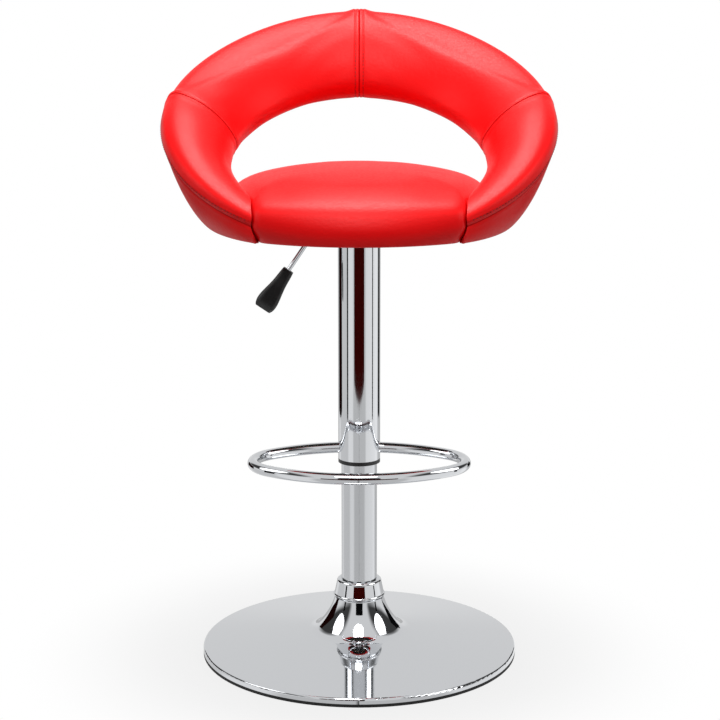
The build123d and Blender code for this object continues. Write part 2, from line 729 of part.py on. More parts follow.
# Share of the seat's height, then how far the sides, the front corners and the front are drawn in there:
# first up the walls, then over the crown in even steps of a quarter oval
wall_levels = ((0.0, 8.0, 30.0, 12.0), (0.18, 2.0, 12.0, 3.0), (0.42, 0.0, 0.0, 0.0), (0.62, 0.8, 1.5, 2.5))
crown_angles = (25, 45, 62, 77, 90)
cushion_levels = list(wall_levels)
for crown_angle in crown_angles:
    rise = math.sin(math.radians(crown_angle))
    run = 1 - math.cos(math.radians(crown_angle))
    wall_share, wall_inset, wall_corner, wall_front = wall_levels[-1]
    cushion_levels.append(
        (
            wall_share + (1 - wall_share) * rise,
            wall_inset + crown_side * run,
            wall_corner + crown_corner * run,
            wall_front + crown_front * run,
        )
    )


def cushion_form(grow):
    """Lofts the cushion's crown and drawn-in sides, larger all round by grow."""
    levels = []
    for share, inset, corner_in, front_in in cushion_levels:
        level_z = seat_bottom + seat_h * share + (grow if share > 0.5 else -grow)
        with BuildSketch(Plane.XY.offset(level_z)) as level:
            with BuildLine():
                seat_outline(inset - grow, seat_corner_y + corner_in - grow, seat_front_y + front_in - grow)
            make_face()
        levels.append(level.sketch)
    loft(levels)


def board_outline(inset, grow):
    """Draws the board's plan, larger all round by grow."""
    with BuildLine() as plan:
        seat_outline(
            inset - grow, seat_corner_y + board_corner_in - grow, seat_front_y + board_front_in - grow
        )
    make_face(plan.edges())


# Plane of the padded ring: its centre, its upward normal and a section through it at an angle
lean = math.radians(ring_lean)
ring_centre = Vector(0, ring_y, ring_z)
ring_up = Vector(0, -math.sin(lean), math.cos(lean))
ring_back = Vector(0, math.cos(lean), math.sin(lean))


def ring_section(angle, side):
    """Plane across the ring at an angle from the front, with x outwards and y along its normal."""
    turn = math.radians(angle)
    outwards = Vector(side * math.sin(turn), 0, 0) - ring_back * math.cos(turn)
    return Plane(ring_centre, x_dir=outwards, z_dir=outwards.cross(ring_up))


def frame_point(angle, side):
    """Centre of the frame tube at an angle from the front."""
    return ring_section(angle, side).from_local_coords((ring_r, 0, 0))


# Frame tube, bent to the ring's circle, and the straps that carry it down to the board
ring_axis = Axis(ring_centre, -ring_up)


def frame_sweep(radius, first_angle, mode=Mode.ADD):
    """Turns a circle about the ring's axis from one arm round the back to the other."""
    with BuildSketch(ring_section(first_angle, -1)) as tube:
        with Locations((ring_r, 0)):
            Circle(radius)
    revolve(tube.sketch, axis=ring_axis, revolution_arc=360 - 2 * first_angle, mode=mode)


with BuildPart() as back_frame:
    frame_sweep(frame_d / 2, frame_end)
    frame_sweep(frame_d / 2 - frame_wall, frame_end, Mode.SUBTRACT)
back_frame.part.label = "back_frame"
export_step(back_frame.part, "parts/back_frame.step")

channel_margin = 1.0  # degrees past the tube's end

with BuildPart() as frame_channel:
    frame_sweep(frame_d / 2 + soft_gap, frame_end - channel_margin)


def strap_plane(side):
    """Upright plane through the tube's centre, with x level and outwards and y up from the floor."""
    foot = frame_point(strap_angle, side)
    turn = math.radians(strap_angle)
    outwards = Vector(side * math.sin(turn), -math.cos(turn) * math.cos(lean), 0).normalized()
    return Plane((foot.X, foot.Y, 0), x_dir=outwards, z_dir=outwards.cross(Vector(0, 0, 1)))


def strap_form(side, grow):
    """Bent flat bar with its foot under the board and its upright beside the tube."""
    upright = -(frame_d / 2 + strap_weld_gap)
    top = frame_point(strap_angle, side).Z + strap_rise
    inside = upright - strap_t
    with BuildSketch(strap_plane(side)) as profile:
        with BuildLine():
            FilletPolyline(
                (-strap_foot, seat_bottom),
                (upright, seat_bottom),
                (upright, top),
                radius=strap_bend_r + strap_t,
            )
            Line((upright, top), (inside, top))
            FilletPolyline(
                (inside, top),
                (inside, board_bottom),
                (-strap_foot, board_bottom),
                radius=strap_bend_r,
            )
            Line((-strap_foot, board_bottom), (-strap_foot, seat_bottom))
        make_face()
        if grow > 0:
            offset(amount=grow)
    extrude(profile.sketch, amount=strap_w / 2 + grow, both=True)


def strap_screw_places(side):
    """Points on the underside of the strap's foot where its screws go in."""
    first = -strap_foot + strap_screw_first
    along = [first, first + strap_screw_pitch]
    return [strap_plane(side).from_local_coords((reach, seat_bottom, 0)) for reach in along]


screw_places = strap_screw_places(-1) + strap_screw_places(1)

for side, side_name in ((-1, "left"), (1, "right")):
    with BuildPart() as frame_strap:
        strap_form(side, 0)
        with Locations(*[Plane(place, z_dir=(0, 0, -1)) for place in strap_screw_places(side)]):
            CounterSinkHole(strap_screw_d / 2 + slip_fit, strap_screw_head_d / 2 + slip_fit, strap_t)
    frame_strap.part.label = "frame_strap_" + side_name
    export_step(frame_strap.part, "parts/frame_strap_" + side_name + ".step")

strap_rooms = []
for side in (-1, 1):
    with BuildPart() as strap_room:
        strap_form(side, soft_gap)
    strap_rooms.append(strap_room.part)

with BuildPart() as strap_screws:
    for place in screw_places:
        with BuildSketch(Plane(place, x_dir=(1, 0, 0), z_dir=(0, -1, 0))):
            Polygon(
                (0, 0),
                (strap_screw_head_d / 2, 0),
                (strap_screw_d / 2, (strap_screw_head_d - strap_screw_d) / 2),
                (strap_screw_d / 2, strap_screw_len - strap_screw_d / 2),
                (0, strap_screw_len),
                align=None,
            )
        revolve(axis=Axis(place, (0, 0, 1)))
strap_screws.part.label = "strap_screws"
export_step(strap_screws.part, "parts/strap_screws.step")

with BuildPart() as seat_board:
    with BuildSketch(Plane.XY.offset(board_bottom)):
        board_outline(board_inset, 0)
        with GridLocations(plate_screw_pitch, plate_screw_pitch, 2, 2):
            Circle(tee_barrel_d / 2 + slip_fit, mode=Mode.SUBTRACT)
    extrude(amount=board_t)
    for place in screw_places:
        with BuildSketch(Plane((place.X, place.Y, board_bottom))):
            Circle(strap_screw_d / 2 + slip_fit)
        extrude(amount=strap_screw_len - strap_t + slip_fit, mode=Mode.SUBTRACT)
seat_board.part.label = "seat_board"
export_step(seat_board.part, "parts/seat_board.step")

with BuildPart() as seat_cushion:
    cushion_form(0)
    with BuildSketch(Plane.XY.offset(seat_bottom)):
        board_outline(board_inset, soft_gap)
    extrude(amount=board_top + slip_fit - seat_bottom, mode=Mode.SUBTRACT)
    with BuildSketch(Plane.XY.offset(board_top)):
        with GridLocations(plate_screw_pitch, plate_screw_pitch, 2, 2):
            Circle(tee_nut_d / 2 + soft_gap)
    extrude(amount=tee_nut_t + soft_gap, mode=Mode.SUBTRACT)
    add(strap_rooms, mode=Mode.SUBTRACT)
seat_cushion.part.label = "seat_cushion"
export_step(seat_cushion.part, "parts/seat_cushion.step")

with BuildPart() as dust_cover:
    with BuildSketch(Plane.XY.offset(seat_bottom)):
        board_outline(dust_cover_inset, 0)
        Rectangle(plate_size + 2 * dust_window, plate_size + 2 * dust_window, mode=Mode.SUBTRACT)
    extrude(amount=-dust_cover_t)
dust_cover.part.label = "dust_cover"
export_step(dust_cover.part, "parts/dust_cover.step")


# Padded ring
def pad_form(angle):
    """Section of the padded ring at an angle from the front.

    Returns the section's middle, half length, half thickness and tilt, with x outwards from the ring's
    axis and y along it. The section is the same all round but for a fuller back, and towards the front
    it shrinks and runs down into the seat's corner.
    """
    turn = math.radians(angle)
    back = max(0.0, -math.cos(turn))
    front = max(0.0, (90 - angle) / arm_fade)
    half = pad_side_half + (pad_back_half - pad_side_half) * back
    thick = pad_side_thick + (pad_back_thick - pad_side_thick) * back - arm_tip_thin * front**arm_thin_curve
    wave = -pad_wave * math.cos(3 * turn) if angle > 90 else 0.0
    waist = arm_waist * math.exp(-(((angle - arm_waist_at) / arm_waist_spread) ** 2))
    reach_out = half * math.cos(math.radians(pad_tilt))
    reach_up = half * math.sin(math.radians(pad_tilt))
    outer = Vector(
        ring_r + reach_out - arm_tip_in * front**arm_in_curve,
        reach_up + wave - arm_tip_drop * front**arm_drop_curve,
    )
    inner = Vector(
        ring_r - reach_out + arm_tip_out * front**arm_out_curve + waist,
        -reach_up + wave + arm_tip_rise * front**arm_rise_curve,
    )
    middle = (outer + inner) * 0.5
    along = (outer - inner) * 0.5
    return middle, along.length, min(thick, pad_oval_most * along.length), math.atan2(along.Y, along.X)


def pad_point(form, along, across):
    """Point of a section from distances along and across its long axis."""
    middle, _, _, tilt = form
    return (
        middle.X + along * math.cos(tilt) - across * math.sin(tilt),
        middle.Y + along * math.sin(tilt) + across * math.cos(tilt),
    )


def pad_joint(form):
    """Where the round ends of a section meet its long sides, from its middle."""
    _, half, thick, _ = form
    end_r = pad_end_round * thick
    reach = half - end_r
    slack = thick - end_r
    drop_to_centre = (reach**2 - slack**2) / (2 * slack)
    share = end_r / (slack + drop_to_centre)
    return reach * (1 + share), drop_to_centre * share


def pad_upper(form):
    """Draws the outer end, the long upper side and the inner end of a section."""
    _, half, thick, _ = form
    joint_x, joint_y = pad_joint(form)
    ThreePointArc(
        pad_point(form, joint_x, -joint_y), pad_point(form, half, 0), pad_point(form, joint_x, joint_y)
    )
    ThreePointArc(
        pad_point(form, joint_x, joint_y), pad_point(form, 0, thick), pad_point(form, -joint_x, joint_y)
    )
    ThreePointArc(
        pad_point(form, -joint_x, joint_y), pad_point(form, -half, 0), pad_point(form, -joint_x, -joint_y)
    )


back_stations = 7

for side, side_name in ((-1, "left"), (1, "right")):
    with BuildPart() as back_pad:
        for station in range(back_stations):
            angle = arm_end + (180 - arm_end) * station / (back_stations - 1)
            form = pad_form(angle)
            joint_x, joint_y = pad_joint(form)
            with BuildSketch(ring_section(angle, side)):
                with BuildLine():
                    pad_upper(form)
                    ThreePointArc(
                        pad_point(form, -joint_x, -joint_y),
                        pad_point(form, 0, -form[2]),
                        pad_point(form, joint_x, -joint_y),
                    )
                make_face()
        loft()
        fillet(back_pad.faces().filter_by(GeomType.PLANE).edges(), radius=seam_round)
        add(frame_channel.part, mode=Mode.SUBTRACT)
    back_pad.part.label = "back_pad_" + side_name
    export_step(back_pad.part, "parts/back_pad_" + side_name + ".step")


def under_edge(angle):
    """Lower edge of the arm's outer panel: an oval on the seat's underside, cut by the ring's section."""
    turn = math.radians(angle)
    across = math.sin(turn) / under_half_w
    ahead = math.cos(turn) / math.cos(lean) / under_half_d
    behind = (ring_z - seat_bottom) * math.tan(lean) / under_half_d
    square = across**2 + ahead**2
    reach = (behind * ahead + math.sqrt((behind * ahead) ** 2 - square * (behind**2 - 1))) / square
    return Vector(reach, under_height(angle, reach))


def under_height(angle, reach):
    """Height of the seat's underside along the ring's normal, at a distance from the ring's axis."""
    ahead = reach * math.cos(math.radians(angle)) * math.sin(lean)
    return (seat_bottom - under_spare - ring_z + ahead) / math.cos(lean)


with BuildPart() as arm_clearance:
    cushion_form(soft_gap)
    with Locations((0, -2 * under_half_d, seat_bottom)):
        Box(
            2 * (seat_front_half + soft_gap),
            2 * (2 * under_half_d + seat_corner_y + board_corner_in),
            4 * seat_h,
        )
    with Locations((0, 0, seat_bottom)):
        Box(4 * under_half_w, 4 * under_half_d, seat_h, align=(Align.CENTER, Align.CENTER, Align.MAX))

arm_stations = (arm_front, 36, 44, 52, 60, 68, 76, 84, 92, arm_end)

for side, side_name in ((-1, "left"), (1, "right")):
    with BuildPart() as arm_pad:
        for angle in arm_stations:
            form = pad_form(angle)
            joint_x, joint_y = pad_joint(form)
            web = 1 - max(0.0, (angle - arm_web_full) / (arm_end - arm_web_full))
            web = web * web * (3 - 2 * web)
            seam = Vector(*pad_point(form, joint_x, -joint_y))
            root = Vector(*pad_point(form, -joint_x, -joint_y))
            foot_x = roll_foot_along * form[1]
            foot_y = -roll_foot_across * form[2]
            roll_outer = Vector(*pad_point(form, foot_x, foot_y))
            roll_inner = Vector(*pad_point(form, -foot_x, foot_y))
            floor_inner = Vector(under_inner_r, under_height(angle, under_inner_r))
            lower_outer = roll_outer + (under_edge(angle) - roll_outer) * web
            lower_inner = roll_inner + (floor_inner - roll_inner) * web
            chord = lower_outer - seam
            fullness = panel_bulge * (bulge_least + (1 - bulge_least) * web)
            bulge = Vector(-chord.Y, chord.X).normalized() * fullness
            with BuildSketch(ring_section(angle, side)):
                with BuildLine():
                    pad_upper(form)
                    Polyline(root, lower_inner, lower_outer)
                    ThreePointArc(lower_outer, (lower_outer + seam) * 0.5 + bulge, seam)
                make_face()
        loft()
        add(arm_clearance.part, mode=Mode.SUBTRACT)
        add(frame_channel.part, mode=Mode.SUBTRACT)
        add(strap_rooms, mode=Mode.SUBTRACT)
    arm_pad.part.label = "arm_pad_" + side_name
    export_step(arm_pad.part, "parts/arm_pad_" + side_name + ".step")
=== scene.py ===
"""Looks of a bar stool: red padded seat, arms and back on a chrome gas-lift column and a trumpet base."""

import json
import logging
import math
from dataclasses import dataclass, field
from enum import Enum
from typing import Any, Sequence

import bmesh
import bpy
import numpy as np
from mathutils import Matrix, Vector
from mathutils.bvhtree import BVHTree


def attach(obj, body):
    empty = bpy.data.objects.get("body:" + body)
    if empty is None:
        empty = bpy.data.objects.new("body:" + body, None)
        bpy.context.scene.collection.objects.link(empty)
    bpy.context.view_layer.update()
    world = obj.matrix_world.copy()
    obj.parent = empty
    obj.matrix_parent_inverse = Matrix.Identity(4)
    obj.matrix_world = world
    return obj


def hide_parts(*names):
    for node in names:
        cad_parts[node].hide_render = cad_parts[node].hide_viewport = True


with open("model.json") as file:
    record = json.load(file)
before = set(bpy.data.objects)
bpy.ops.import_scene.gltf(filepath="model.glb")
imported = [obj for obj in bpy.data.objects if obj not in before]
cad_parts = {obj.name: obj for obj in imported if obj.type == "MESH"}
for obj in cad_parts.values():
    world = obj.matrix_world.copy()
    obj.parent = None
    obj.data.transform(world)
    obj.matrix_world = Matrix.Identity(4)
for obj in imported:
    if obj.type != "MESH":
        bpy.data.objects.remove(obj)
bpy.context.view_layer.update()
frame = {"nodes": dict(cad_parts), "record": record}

MM = 0.001
TINY = 1e-9
WHITE = (1.0, 1.0, 1.0, 1.0)
# Sockets of a mix of colours, which share their names with those of a mix of numbers
MIX_A, MIX_B, MIXED = 6, 7, 2

log = logging.getLogger("bar_stool")


class Side(Enum):
    """Which half of the stool a piece belongs to, as seen from the front."""

    LEFT = -1
    RIGHT = 1

    @property
    def word(self) -> str:
        """The side's name as the frame's nodes spell it."""
        return self.name.lower()


# Small tools


def linear(hex_colour: str) -> tuple[float, float, float, float]:
    """Turns an sRGB hex colour into the linear colour that shaders take.

    Args:
        hex_colour: Colour such as "#d11a1c".

    Returns:
        Red, green, blue and alpha.
    """
    parts = [int(hex_colour[i : i + 2], 16) / 255 for i in (1, 3, 5)]
    red, green, blue = (p / 12.92 if p <= 0.04045 else ((p + 0.055) / 1.055) ** 2.4 for p in parts)
    return red, green, blue, 1.0


def per_metre(size_mm: float) -> float:
    """Pattern scale that gives features of a real size in millimetres."""
    return 1000 / size_mm


def add_node(
    tree: bpy.types.NodeTree,
    kind: str,
    inputs: dict[str | int, Any] | None = None,
    **settings: Any,
) -> bpy.types.Node:
    """Adds a node with its settings, its input values and its links.

    Args:
        tree: Node tree that takes the node.
        kind: Node type, without the shared prefix.
        inputs: Value or output socket for each input, by name or index.
        settings: Properties of the node itself.

    Returns:
        The new node.
    """
    node = tree.nodes.new("ShaderNode" + kind)
    for key, value in settings.items():
        setattr(node, key, value)
    for key, value in (inputs or {}).items():
        if isinstance(value, bpy.types.NodeSocket):
            tree.links.new(value, node.inputs[key])
        else:
            node.inputs[key].default_value = value
    return node


def start_material(
    name: str,
    values: dict[str, Any] | None = None,
) -> tuple[bpy.types.Material, bpy.types.NodeTree, bpy.types.Node]:
    """Starts a material with nodes.

    Args:
        name: Common name of the stuff, and how its surface was made.
        values: Values of the surface shader's inputs, by name.

    Returns:
        The material, its node tree and its surface shader.
    """
    made = bpy.data.materials.new(name)
    made.use_nodes = True
    shader = made.node_tree.nodes["Principled BSDF"]
    for key, value in (values or {}).items():
        shader.inputs[key].default_value = value
    return made, made.node_tree, shader


def soft_ramp(value: float, width: float) -> float:
    """Follows value above zero and stays near zero below it, with a rounded bend of that width."""
    return (value + math.hypot(value, width)) / 2


def smooth_step(share: float) -> float:
    """Eases a share in and out between 0 and 1, and keeps it in that range."""
    share = min(1.0, max(0.0, share))
    return share * share * (3 - 2 * share)


def smooth_through(x: np.ndarray, knots: Sequence[float], values: Sequence[float]) -> np.ndarray:
    """Smooth curve through a few points.

    Args:
        x: Where the curve is wanted.
        knots: Rising places of the points.
        values: Height of each point.

    Returns:
        The curve's height at each x.
    """
    knots, values = np.asarray(knots, float), np.asarray(values, float)
    slopes = np.gradient(values, knots)
    i = np.clip(np.searchsorted(knots, x) - 1, 0, len(knots) - 2)
    width = knots[i + 1] - knots[i]
    t = (x - knots[i]) / width
    return (
        values[i] * (1 + 2 * t) * (1 - t) ** 2
        + values[i + 1] * t * t * (3 - 2 * t)
        + width * (slopes[i] * t * (1 - t) ** 2 - slopes[i + 1] * t * t * (1 - t))
    )


@dataclass(frozen=True)
class Arc:
    """Circular arc in a flat section, kept as its centre, radius, start angle and sweep."""

    centre: tuple[float, float]
    radius: float
    start: float
    sweep: float

    @classmethod
    def through(cls, first: Sequence[float], middle: Sequence[float], last: Sequence[float]) -> "Arc":
        """Finds the arc from the first point over the middle one to the last.

        Args:
            first: Where the arc starts.
            middle: Any point on its way.
            last: Where it ends.

        Returns:
            The arc.
        """
        (ax, ay), (bx, by), (cx, cy) = first, middle, last
        twice = 2 * (ax * (by - cy) + bx * (cy - ay) + cx * (ay - by))
        a, b, c = ax * ax + ay * ay, bx * bx + by * by, cx * cx + cy * cy
        x = (a * (by - cy) + b * (cy - ay) + c * (ay - by)) / twice
        y = (a * (cx - bx) + b * (ax - cx) + c * (bx - ax)) / twice
        start = math.atan2(ay - y, ax - x)
        via = (math.atan2(by - y, bx - x) - start) % math.tau
        sweep = (math.atan2(cy - y, cx - x) - start) % math.tau
        return cls((x, y), math.hypot(ax - x, ay - y), start, sweep if via < sweep else sweep - math.tau)

    @property
    def length(self) -> float:
        """Length along the arc."""
        return self.radius * abs(self.sweep)

    def points(self, shares: Sequence[float]) -> np.ndarray:
        """Points at shares of the arc's length, from 0 at its start to 1 at its end."""
        turn = self.start + self.sweep * np.asarray(shares, float)
        return np.array(self.centre) + self.radius * np.column_stack([np.cos(turn), np.sin(turn)])


def evenly(count: int) -> np.ndarray:
    """Shares from 0 up to, but without, 1."""
    return np.linspace(0, 1, count, endpoint=False)


def mesh_object(
    name: str,
    points: np.ndarray,
    faces: Sequence[Sequence[int]],
    finish: bpy.types.Material,
) -> bpy.types.Object:
    """Makes a smooth-shaded mesh object with outward faces.

    Args:
        name: Name of the object.
        points: Vertices in metres, in the shared frame.
        faces: Vertex numbers of each face.
        finish: Material of the whole object.

    Returns:
        The object, linked to the scene.
    """
    mesh = bpy.data.meshes.new(name)
    mesh.from_pydata(points.tolist(), [], faces)
    shape = bmesh.new()
    shape.from_mesh(mesh)
    bmesh.ops.recalc_face_normals(shape, faces=shape.faces)
    shape.to_mesh(mesh)
    shape.free()
    mesh.polygons.foreach_set("use_smooth", [True] * len(mesh.polygons))
    mesh.materials.append(finish)
    made = bpy.data.objects.new(name, mesh)
    bpy.context.scene.collection.objects.link(made)
    return made


def band_faces(first: int, rings: int, around: int) -> list[list[int]]:
    """Faces between rings of points that are numbered one after the other.

    Args:
        first: Number of the first ring's first vertex.
        rings: Number of rings.
        around: Number of points in each ring.

    Returns:
        Vertex numbers of each face.
    """
    faces = []
    for start in range(first, first + (rings - 1) * around, around):
        for step in range(around):
            near, far = start + step, start + (step + 1) % around
            faces.append([near, far, far + around, near + around])
    return faces


def ring_faces(rings: int, around: int) -> list[list[int]]:
    """Faces of a closed skin over rings of points, with a fan to one more point at each end.

    Args:
        rings: Number of rings.
        around: Number of points in each ring.

    Returns:
        Vertex numbers of each face, the two end points numbered last.
    """
    faces = band_faces(0, rings, around)
    first_tip, last_tip, last = rings * around, rings * around + 1, (rings - 1) * around
    for step in range(around):
        faces.append([step, (step + 1) % around, first_tip])
        faces.append([last + step, last + (step + 1) % around, last_tip])
    return faces


def reach_along(points: np.ndarray) -> np.ndarray:
    """Distance of each point of a line from its first one, along the line."""
    return np.concatenate([[0], np.cumsum(np.linalg.norm(np.diff(points, axis=0), axis=1))])


def points_at(places: np.ndarray, reach: np.ndarray, points: np.ndarray) -> np.ndarray:
    """Points of a line at places between those of its own points."""
    return np.stack([np.interp(places, reach, points[:, axis]) for axis in range(3)], 1)


def divide_lines(
    lines: np.ndarray,
    stops: np.ndarray,
    first: np.ndarray,
    last: np.ndarray,
    count: int,
) -> np.ndarray:
    """Divides lengthwise lines so that rings lie at set distances from both of their ends.

    Args:
        lines: Points, as stations by lines by three.
        stops: Station, with its fraction, at which each line ends.
        first: Distances of the first rings from the lines' starts.
        last: Distances of the last rings from the lines' ends, nearest to the end last.
        count: Number of rings between those.

    Returns:
        Points, as rings by lines by three.
    """
    rings = []
    for line, stop in zip(lines.transpose(1, 0, 2), stops):
        stations = np.append(np.arange(math.floor(stop)), stop)
        points = points_at(stations, np.arange(len(line)), line)
        reach = reach_along(points)
        between = np.linspace(first[-1], reach[-1] - last[0], count + 2)[1:-1]
        places = np.concatenate([first, between, reach[-1] - last])
        rings.append(points_at(places, reach, points))
    return np.array(rings).transpose(1, 0, 2)


def outward(rings: np.ndarray) -> np.ndarray:
    """Unit normals of a skin over rings of points, pointing away from the rings' middles.

    Args:
        rings: Points, as rings by points by three.

    Returns:
        Normals, in the same order.
    """
    normals = np.cross(np.gradient(rings, axis=0), np.roll(rings, -1, 1) - np.roll(rings, 1, 1))
    normals /= np.maximum(np.linalg.norm(normals, axis=2, keepdims=True), TINY)
    return normals * np.sign(((rings - rings.mean(1, keepdims=True)) * normals).sum())


# Finishes


@dataclass(frozen=True)
class FauxLeather:
    """Vinyl-coated cloth embossed with a leather grain."""

    name: str = "red vinyl leather, embossed"
    colour: str = "#e80609"
    shade: str = "#d80306"
    # Colour factor of the painted shade in the seams' grooves
    sewn_shade: float = 0.55
    grain_mm: float = 3.4
    pore_mm: float = 1.5
    pore_detail: float = 2.0
    patch_mm: float = 90.0
    patch_detail: float = 3.0
    grain_depth_mm: float = 0.35
    relief: float = 0.7
    roughness: tuple[float, float] = (0.38, 0.5)
    shine: float = 0.15
    sewn_shine: float = 0.02

    def build(self) -> bpy.types.Material:
        """Makes the material: a soft broad sheen broken up by pebbles, with painted shade where it is sewn
        down.

        Returns:
            The material.
        """
        finish, tree, shader = start_material(self.name)
        place = add_node(tree, "TexCoord").outputs["Object"]
        patch = {"Vector": place, "Scale": per_metre(self.patch_mm), "Detail": self.patch_detail}
        patches = add_node(tree, "TexNoise", patch)
        tones = {0: patches.outputs[0], MIX_A: linear(self.shade), MIX_B: linear(self.colour)}
        tone = add_node(tree, "Mix", tones, data_type="RGBA")
        # The sewn attribute paints shade into the seams' grooves: the colour is multiplied down towards
        # sewn_shade there
        sewn = add_node(tree, "Attribute", attribute_name="sewn")
        darken = {"Value": sewn.outputs["Fac"], "To Min": 1.0, "To Max": self.sewn_shade}
        dark = add_node(tree, "MapRange", darken)
        painted_seam_mix = {0: 1.0, MIX_A: tone.outputs[MIXED], MIX_B: dark.outputs[0]}
        painted_seam_colour = add_node(tree, "Mix", painted_seam_mix, data_type="RGBA", blend_type="MULTIPLY")
        # The real grain is about 0.8 mm, too fine to show from a step away.
        # It is drawn about four times coarser.
        cells = {"Vector": place, "Scale": per_metre(self.grain_mm)}
        pebble = add_node(tree, "TexVoronoi", cells, feature="SMOOTH_F1").outputs["Distance"]
        pore = {"Vector": place, "Scale": per_metre(self.pore_mm), "Detail": self.pore_detail}
        pores = add_node(tree, "TexNoise", pore)
        height = add_node(tree, "Math", {0: pebble, 1: pores.outputs[0]}, operation="MULTIPLY")
        relief = {
            "Strength": self.relief,
            "Distance": self.grain_depth_mm * MM,
            "Height": height.outputs[0],
        }
        bump = add_node(tree, "Bump", relief, invert=True)
        smooth, rough = self.roughness
        gloss = add_node(tree, "MapRange", {"Value": pebble, "To Min": smooth, "To Max": rough})
        dulled = {"Value": sewn.outputs["Fac"], "To Min": self.shine, "To Max": self.sewn_shine}
        sheen = add_node(tree, "MapRange", dulled)
        tree.links.new(sheen.outputs[0], shader.inputs["Specular IOR Level"])
        tree.links.new(painted_seam_colour.outputs[MIXED], shader.inputs["Base Color"])
        tree.links.new(gloss.outputs[0], shader.inputs["Roughness"])
        tree.links.new(bump.outputs[0], shader.inputs["Normal"])
        return finish


@dataclass(frozen=True)
class PlatedMetal:
    """Bare or plated metal with the marks that its making leaves."""

    name: str
    colour: str
    roughness: tuple[float, float]
    mark_mm: float
    stretch: tuple[float, float, float] = (1.0, 1.0, 1.0)
    bump: float = 0.0
    depth_mm: float = 0.05
    detail: float = 4.0

    def build(self) -> bpy.types.Material:
        """Makes the material: a mirror or a sheen whose sharpness drifts along the marks.

        Returns:
            The material.
        """
        metal = {"Base Color": linear(self.colour), "Metallic": 1.0}
        finish, tree, shader = start_material(self.name, metal)
        place = add_node(tree, "TexCoord").outputs["Object"]
        along = add_node(tree, "Mapping", {"Vector": place, "Scale": self.stretch})
        mark = {"Vector": along.outputs[0], "Scale": per_metre(self.mark_mm), "Detail": self.detail}
        marks = add_node(tree, "TexNoise", mark)
        smooth, rough = self.roughness
        gloss = add_node(tree, "MapRange", {"Value": marks.outputs[0], "To Min": smooth, "To Max": rough})
        tree.links.new(gloss.outputs[0], shader.inputs["Roughness"])
        if self.bump > 0:
            relief = {"Strength": self.bump, "Distance": self.depth_mm * MM, "Height": marks.outputs[0]}
            ripple = add_node(tree, "Bump", relief)
            tree.links.new(ripple.outputs[0], shader.inputs["Normal"])
        return finish


@dataclass(frozen=True)
class TexturedSolid:
    """Moulded, coated, sawn or matted stuff that is not bare metal."""

    name: str
    colour: str
    fleck: str
    fleck_mm: float
    roughness: float
    bump: float
    depth_mm: float
    stretch: tuple[float, float, float] = (1.0, 1.0, 1.0)
    detail: float = 5.0

    def build(self) -> bpy.types.Material:
        """Makes the material: a colour broken by flecks, with the same flecks raised on the surface.

        Returns:
            The material.
        """
        finish, tree, shader = start_material(self.name, {"Roughness": self.roughness})
        place = add_node(tree, "TexCoord").outputs["Object"]
        along = add_node(tree, "Mapping", {"Vector": place, "Scale": self.stretch})
        fleck = {"Vector": along.outputs[0], "Scale": per_metre(self.fleck_mm), "Detail": self.detail}
        flecks = add_node(tree, "TexNoise", fleck).outputs[0]
        tones = {0: flecks, MIX_A: linear(self.colour), MIX_B: linear(self.fleck)}
        tone = add_node(tree, "Mix", tones, data_type="RGBA")
        relief = {"Strength": self.bump, "Distance": self.depth_mm * MM, "Height": flecks}
        bump = add_node(tree, "Bump", relief)
        tree.links.new(tone.outputs[MIXED], shader.inputs["Base Color"])
        tree.links.new(bump.outputs[0], shader.inputs["Normal"])
        return finish


# What each slot of the record is made of, and what that gives the eye
FINISHES = {
    # Vinyl leather: a saturated red with a soft broad sheen, with painted shade in the seams' grooves
    "red_leather": FauxLeather(),
    # Chrome over polished steel: a cool, almost perfect mirror with faint wiping marks
    "mirror_chrome": PlatedMetal("chrome plate, polished", "#dfe1e4", (0.03, 0.07), 60.0),
    # Chrome over a drawn tube: the same mirror, blurred a little across its draw lines
    "satin_chrome": PlatedMetal("chrome plate on drawn tube", "#d8dadd", (0.1, 0.18), 1.5, (1.0, 1.0, 0.02)),
    # Zinc on turned and pressed steel: a dull silver with cloudy crystals
    "zinc_steel": PlatedMetal("zinc plate, passivated", "#a9adaf", (0.3, 0.5), 6.0, bump=0.2),
    # Ground steel: a brighter grey with fine rings from the wheel
    "ground_steel": PlatedMetal("steel, ground", "#b9bcbe", (0.15, 0.3), 1.2, (1.0, 1.0, 12.0), 0.1),
    # Rubber off a matt mould: a dark grey that hardly shines
    "floor_rubber": TexturedSolid("rubber, moulded matt", "#141415", "#232324", 1.4, 0.8, 0.3, 0.1),
    # Rubber off a smooth mould: a black with a dull shine
    "seal_rubber": TexturedSolid("nitrile rubber, moulded", "#1a1a1b", "#262627", 0.8, 0.6, 0.2, 0.05),
    # Nylon off a spark-textured mould: a deep black with a crisp, finely broken shine
    "black_plastic": TexturedSolid(
        "nylon, moulded and spark textured", "#0d0d0e", "#1a1a1b", 0.9, 0.36, 0.25, 0.05
    ),
    # Powder baked on steel: a black with the small dimples of orange peel
    "black_paint": TexturedSolid("powder coat, baked black", "#151516", "#202021", 1.8, 0.45, 0.35, 0.08),
    # Sawn plywood: a warm tan with fibres drawn out along one way
    "plywood": TexturedSolid(
        "birch plywood, sawn", "#c9a678", "#a57f50", 5.0, 0.65, 0.3, 0.15, (1.0, 0.08, 1.0)
    ),
    # Spun-bonded cloth: a flat black felt with no shine
    "dust_fabric": TexturedSolid("polyester cloth, spun bonded", "#121213", "#2a2a2b", 1.2, 0.9, 0.6, 0.2),
}
# Twisted thread: short dark red dashes against the leather
THREAD = TexturedSolid("polyester thread, twisted", "#780305", "#8a0608", 0.5, 0.8, 0.4, 0.08)


# Padded pieces


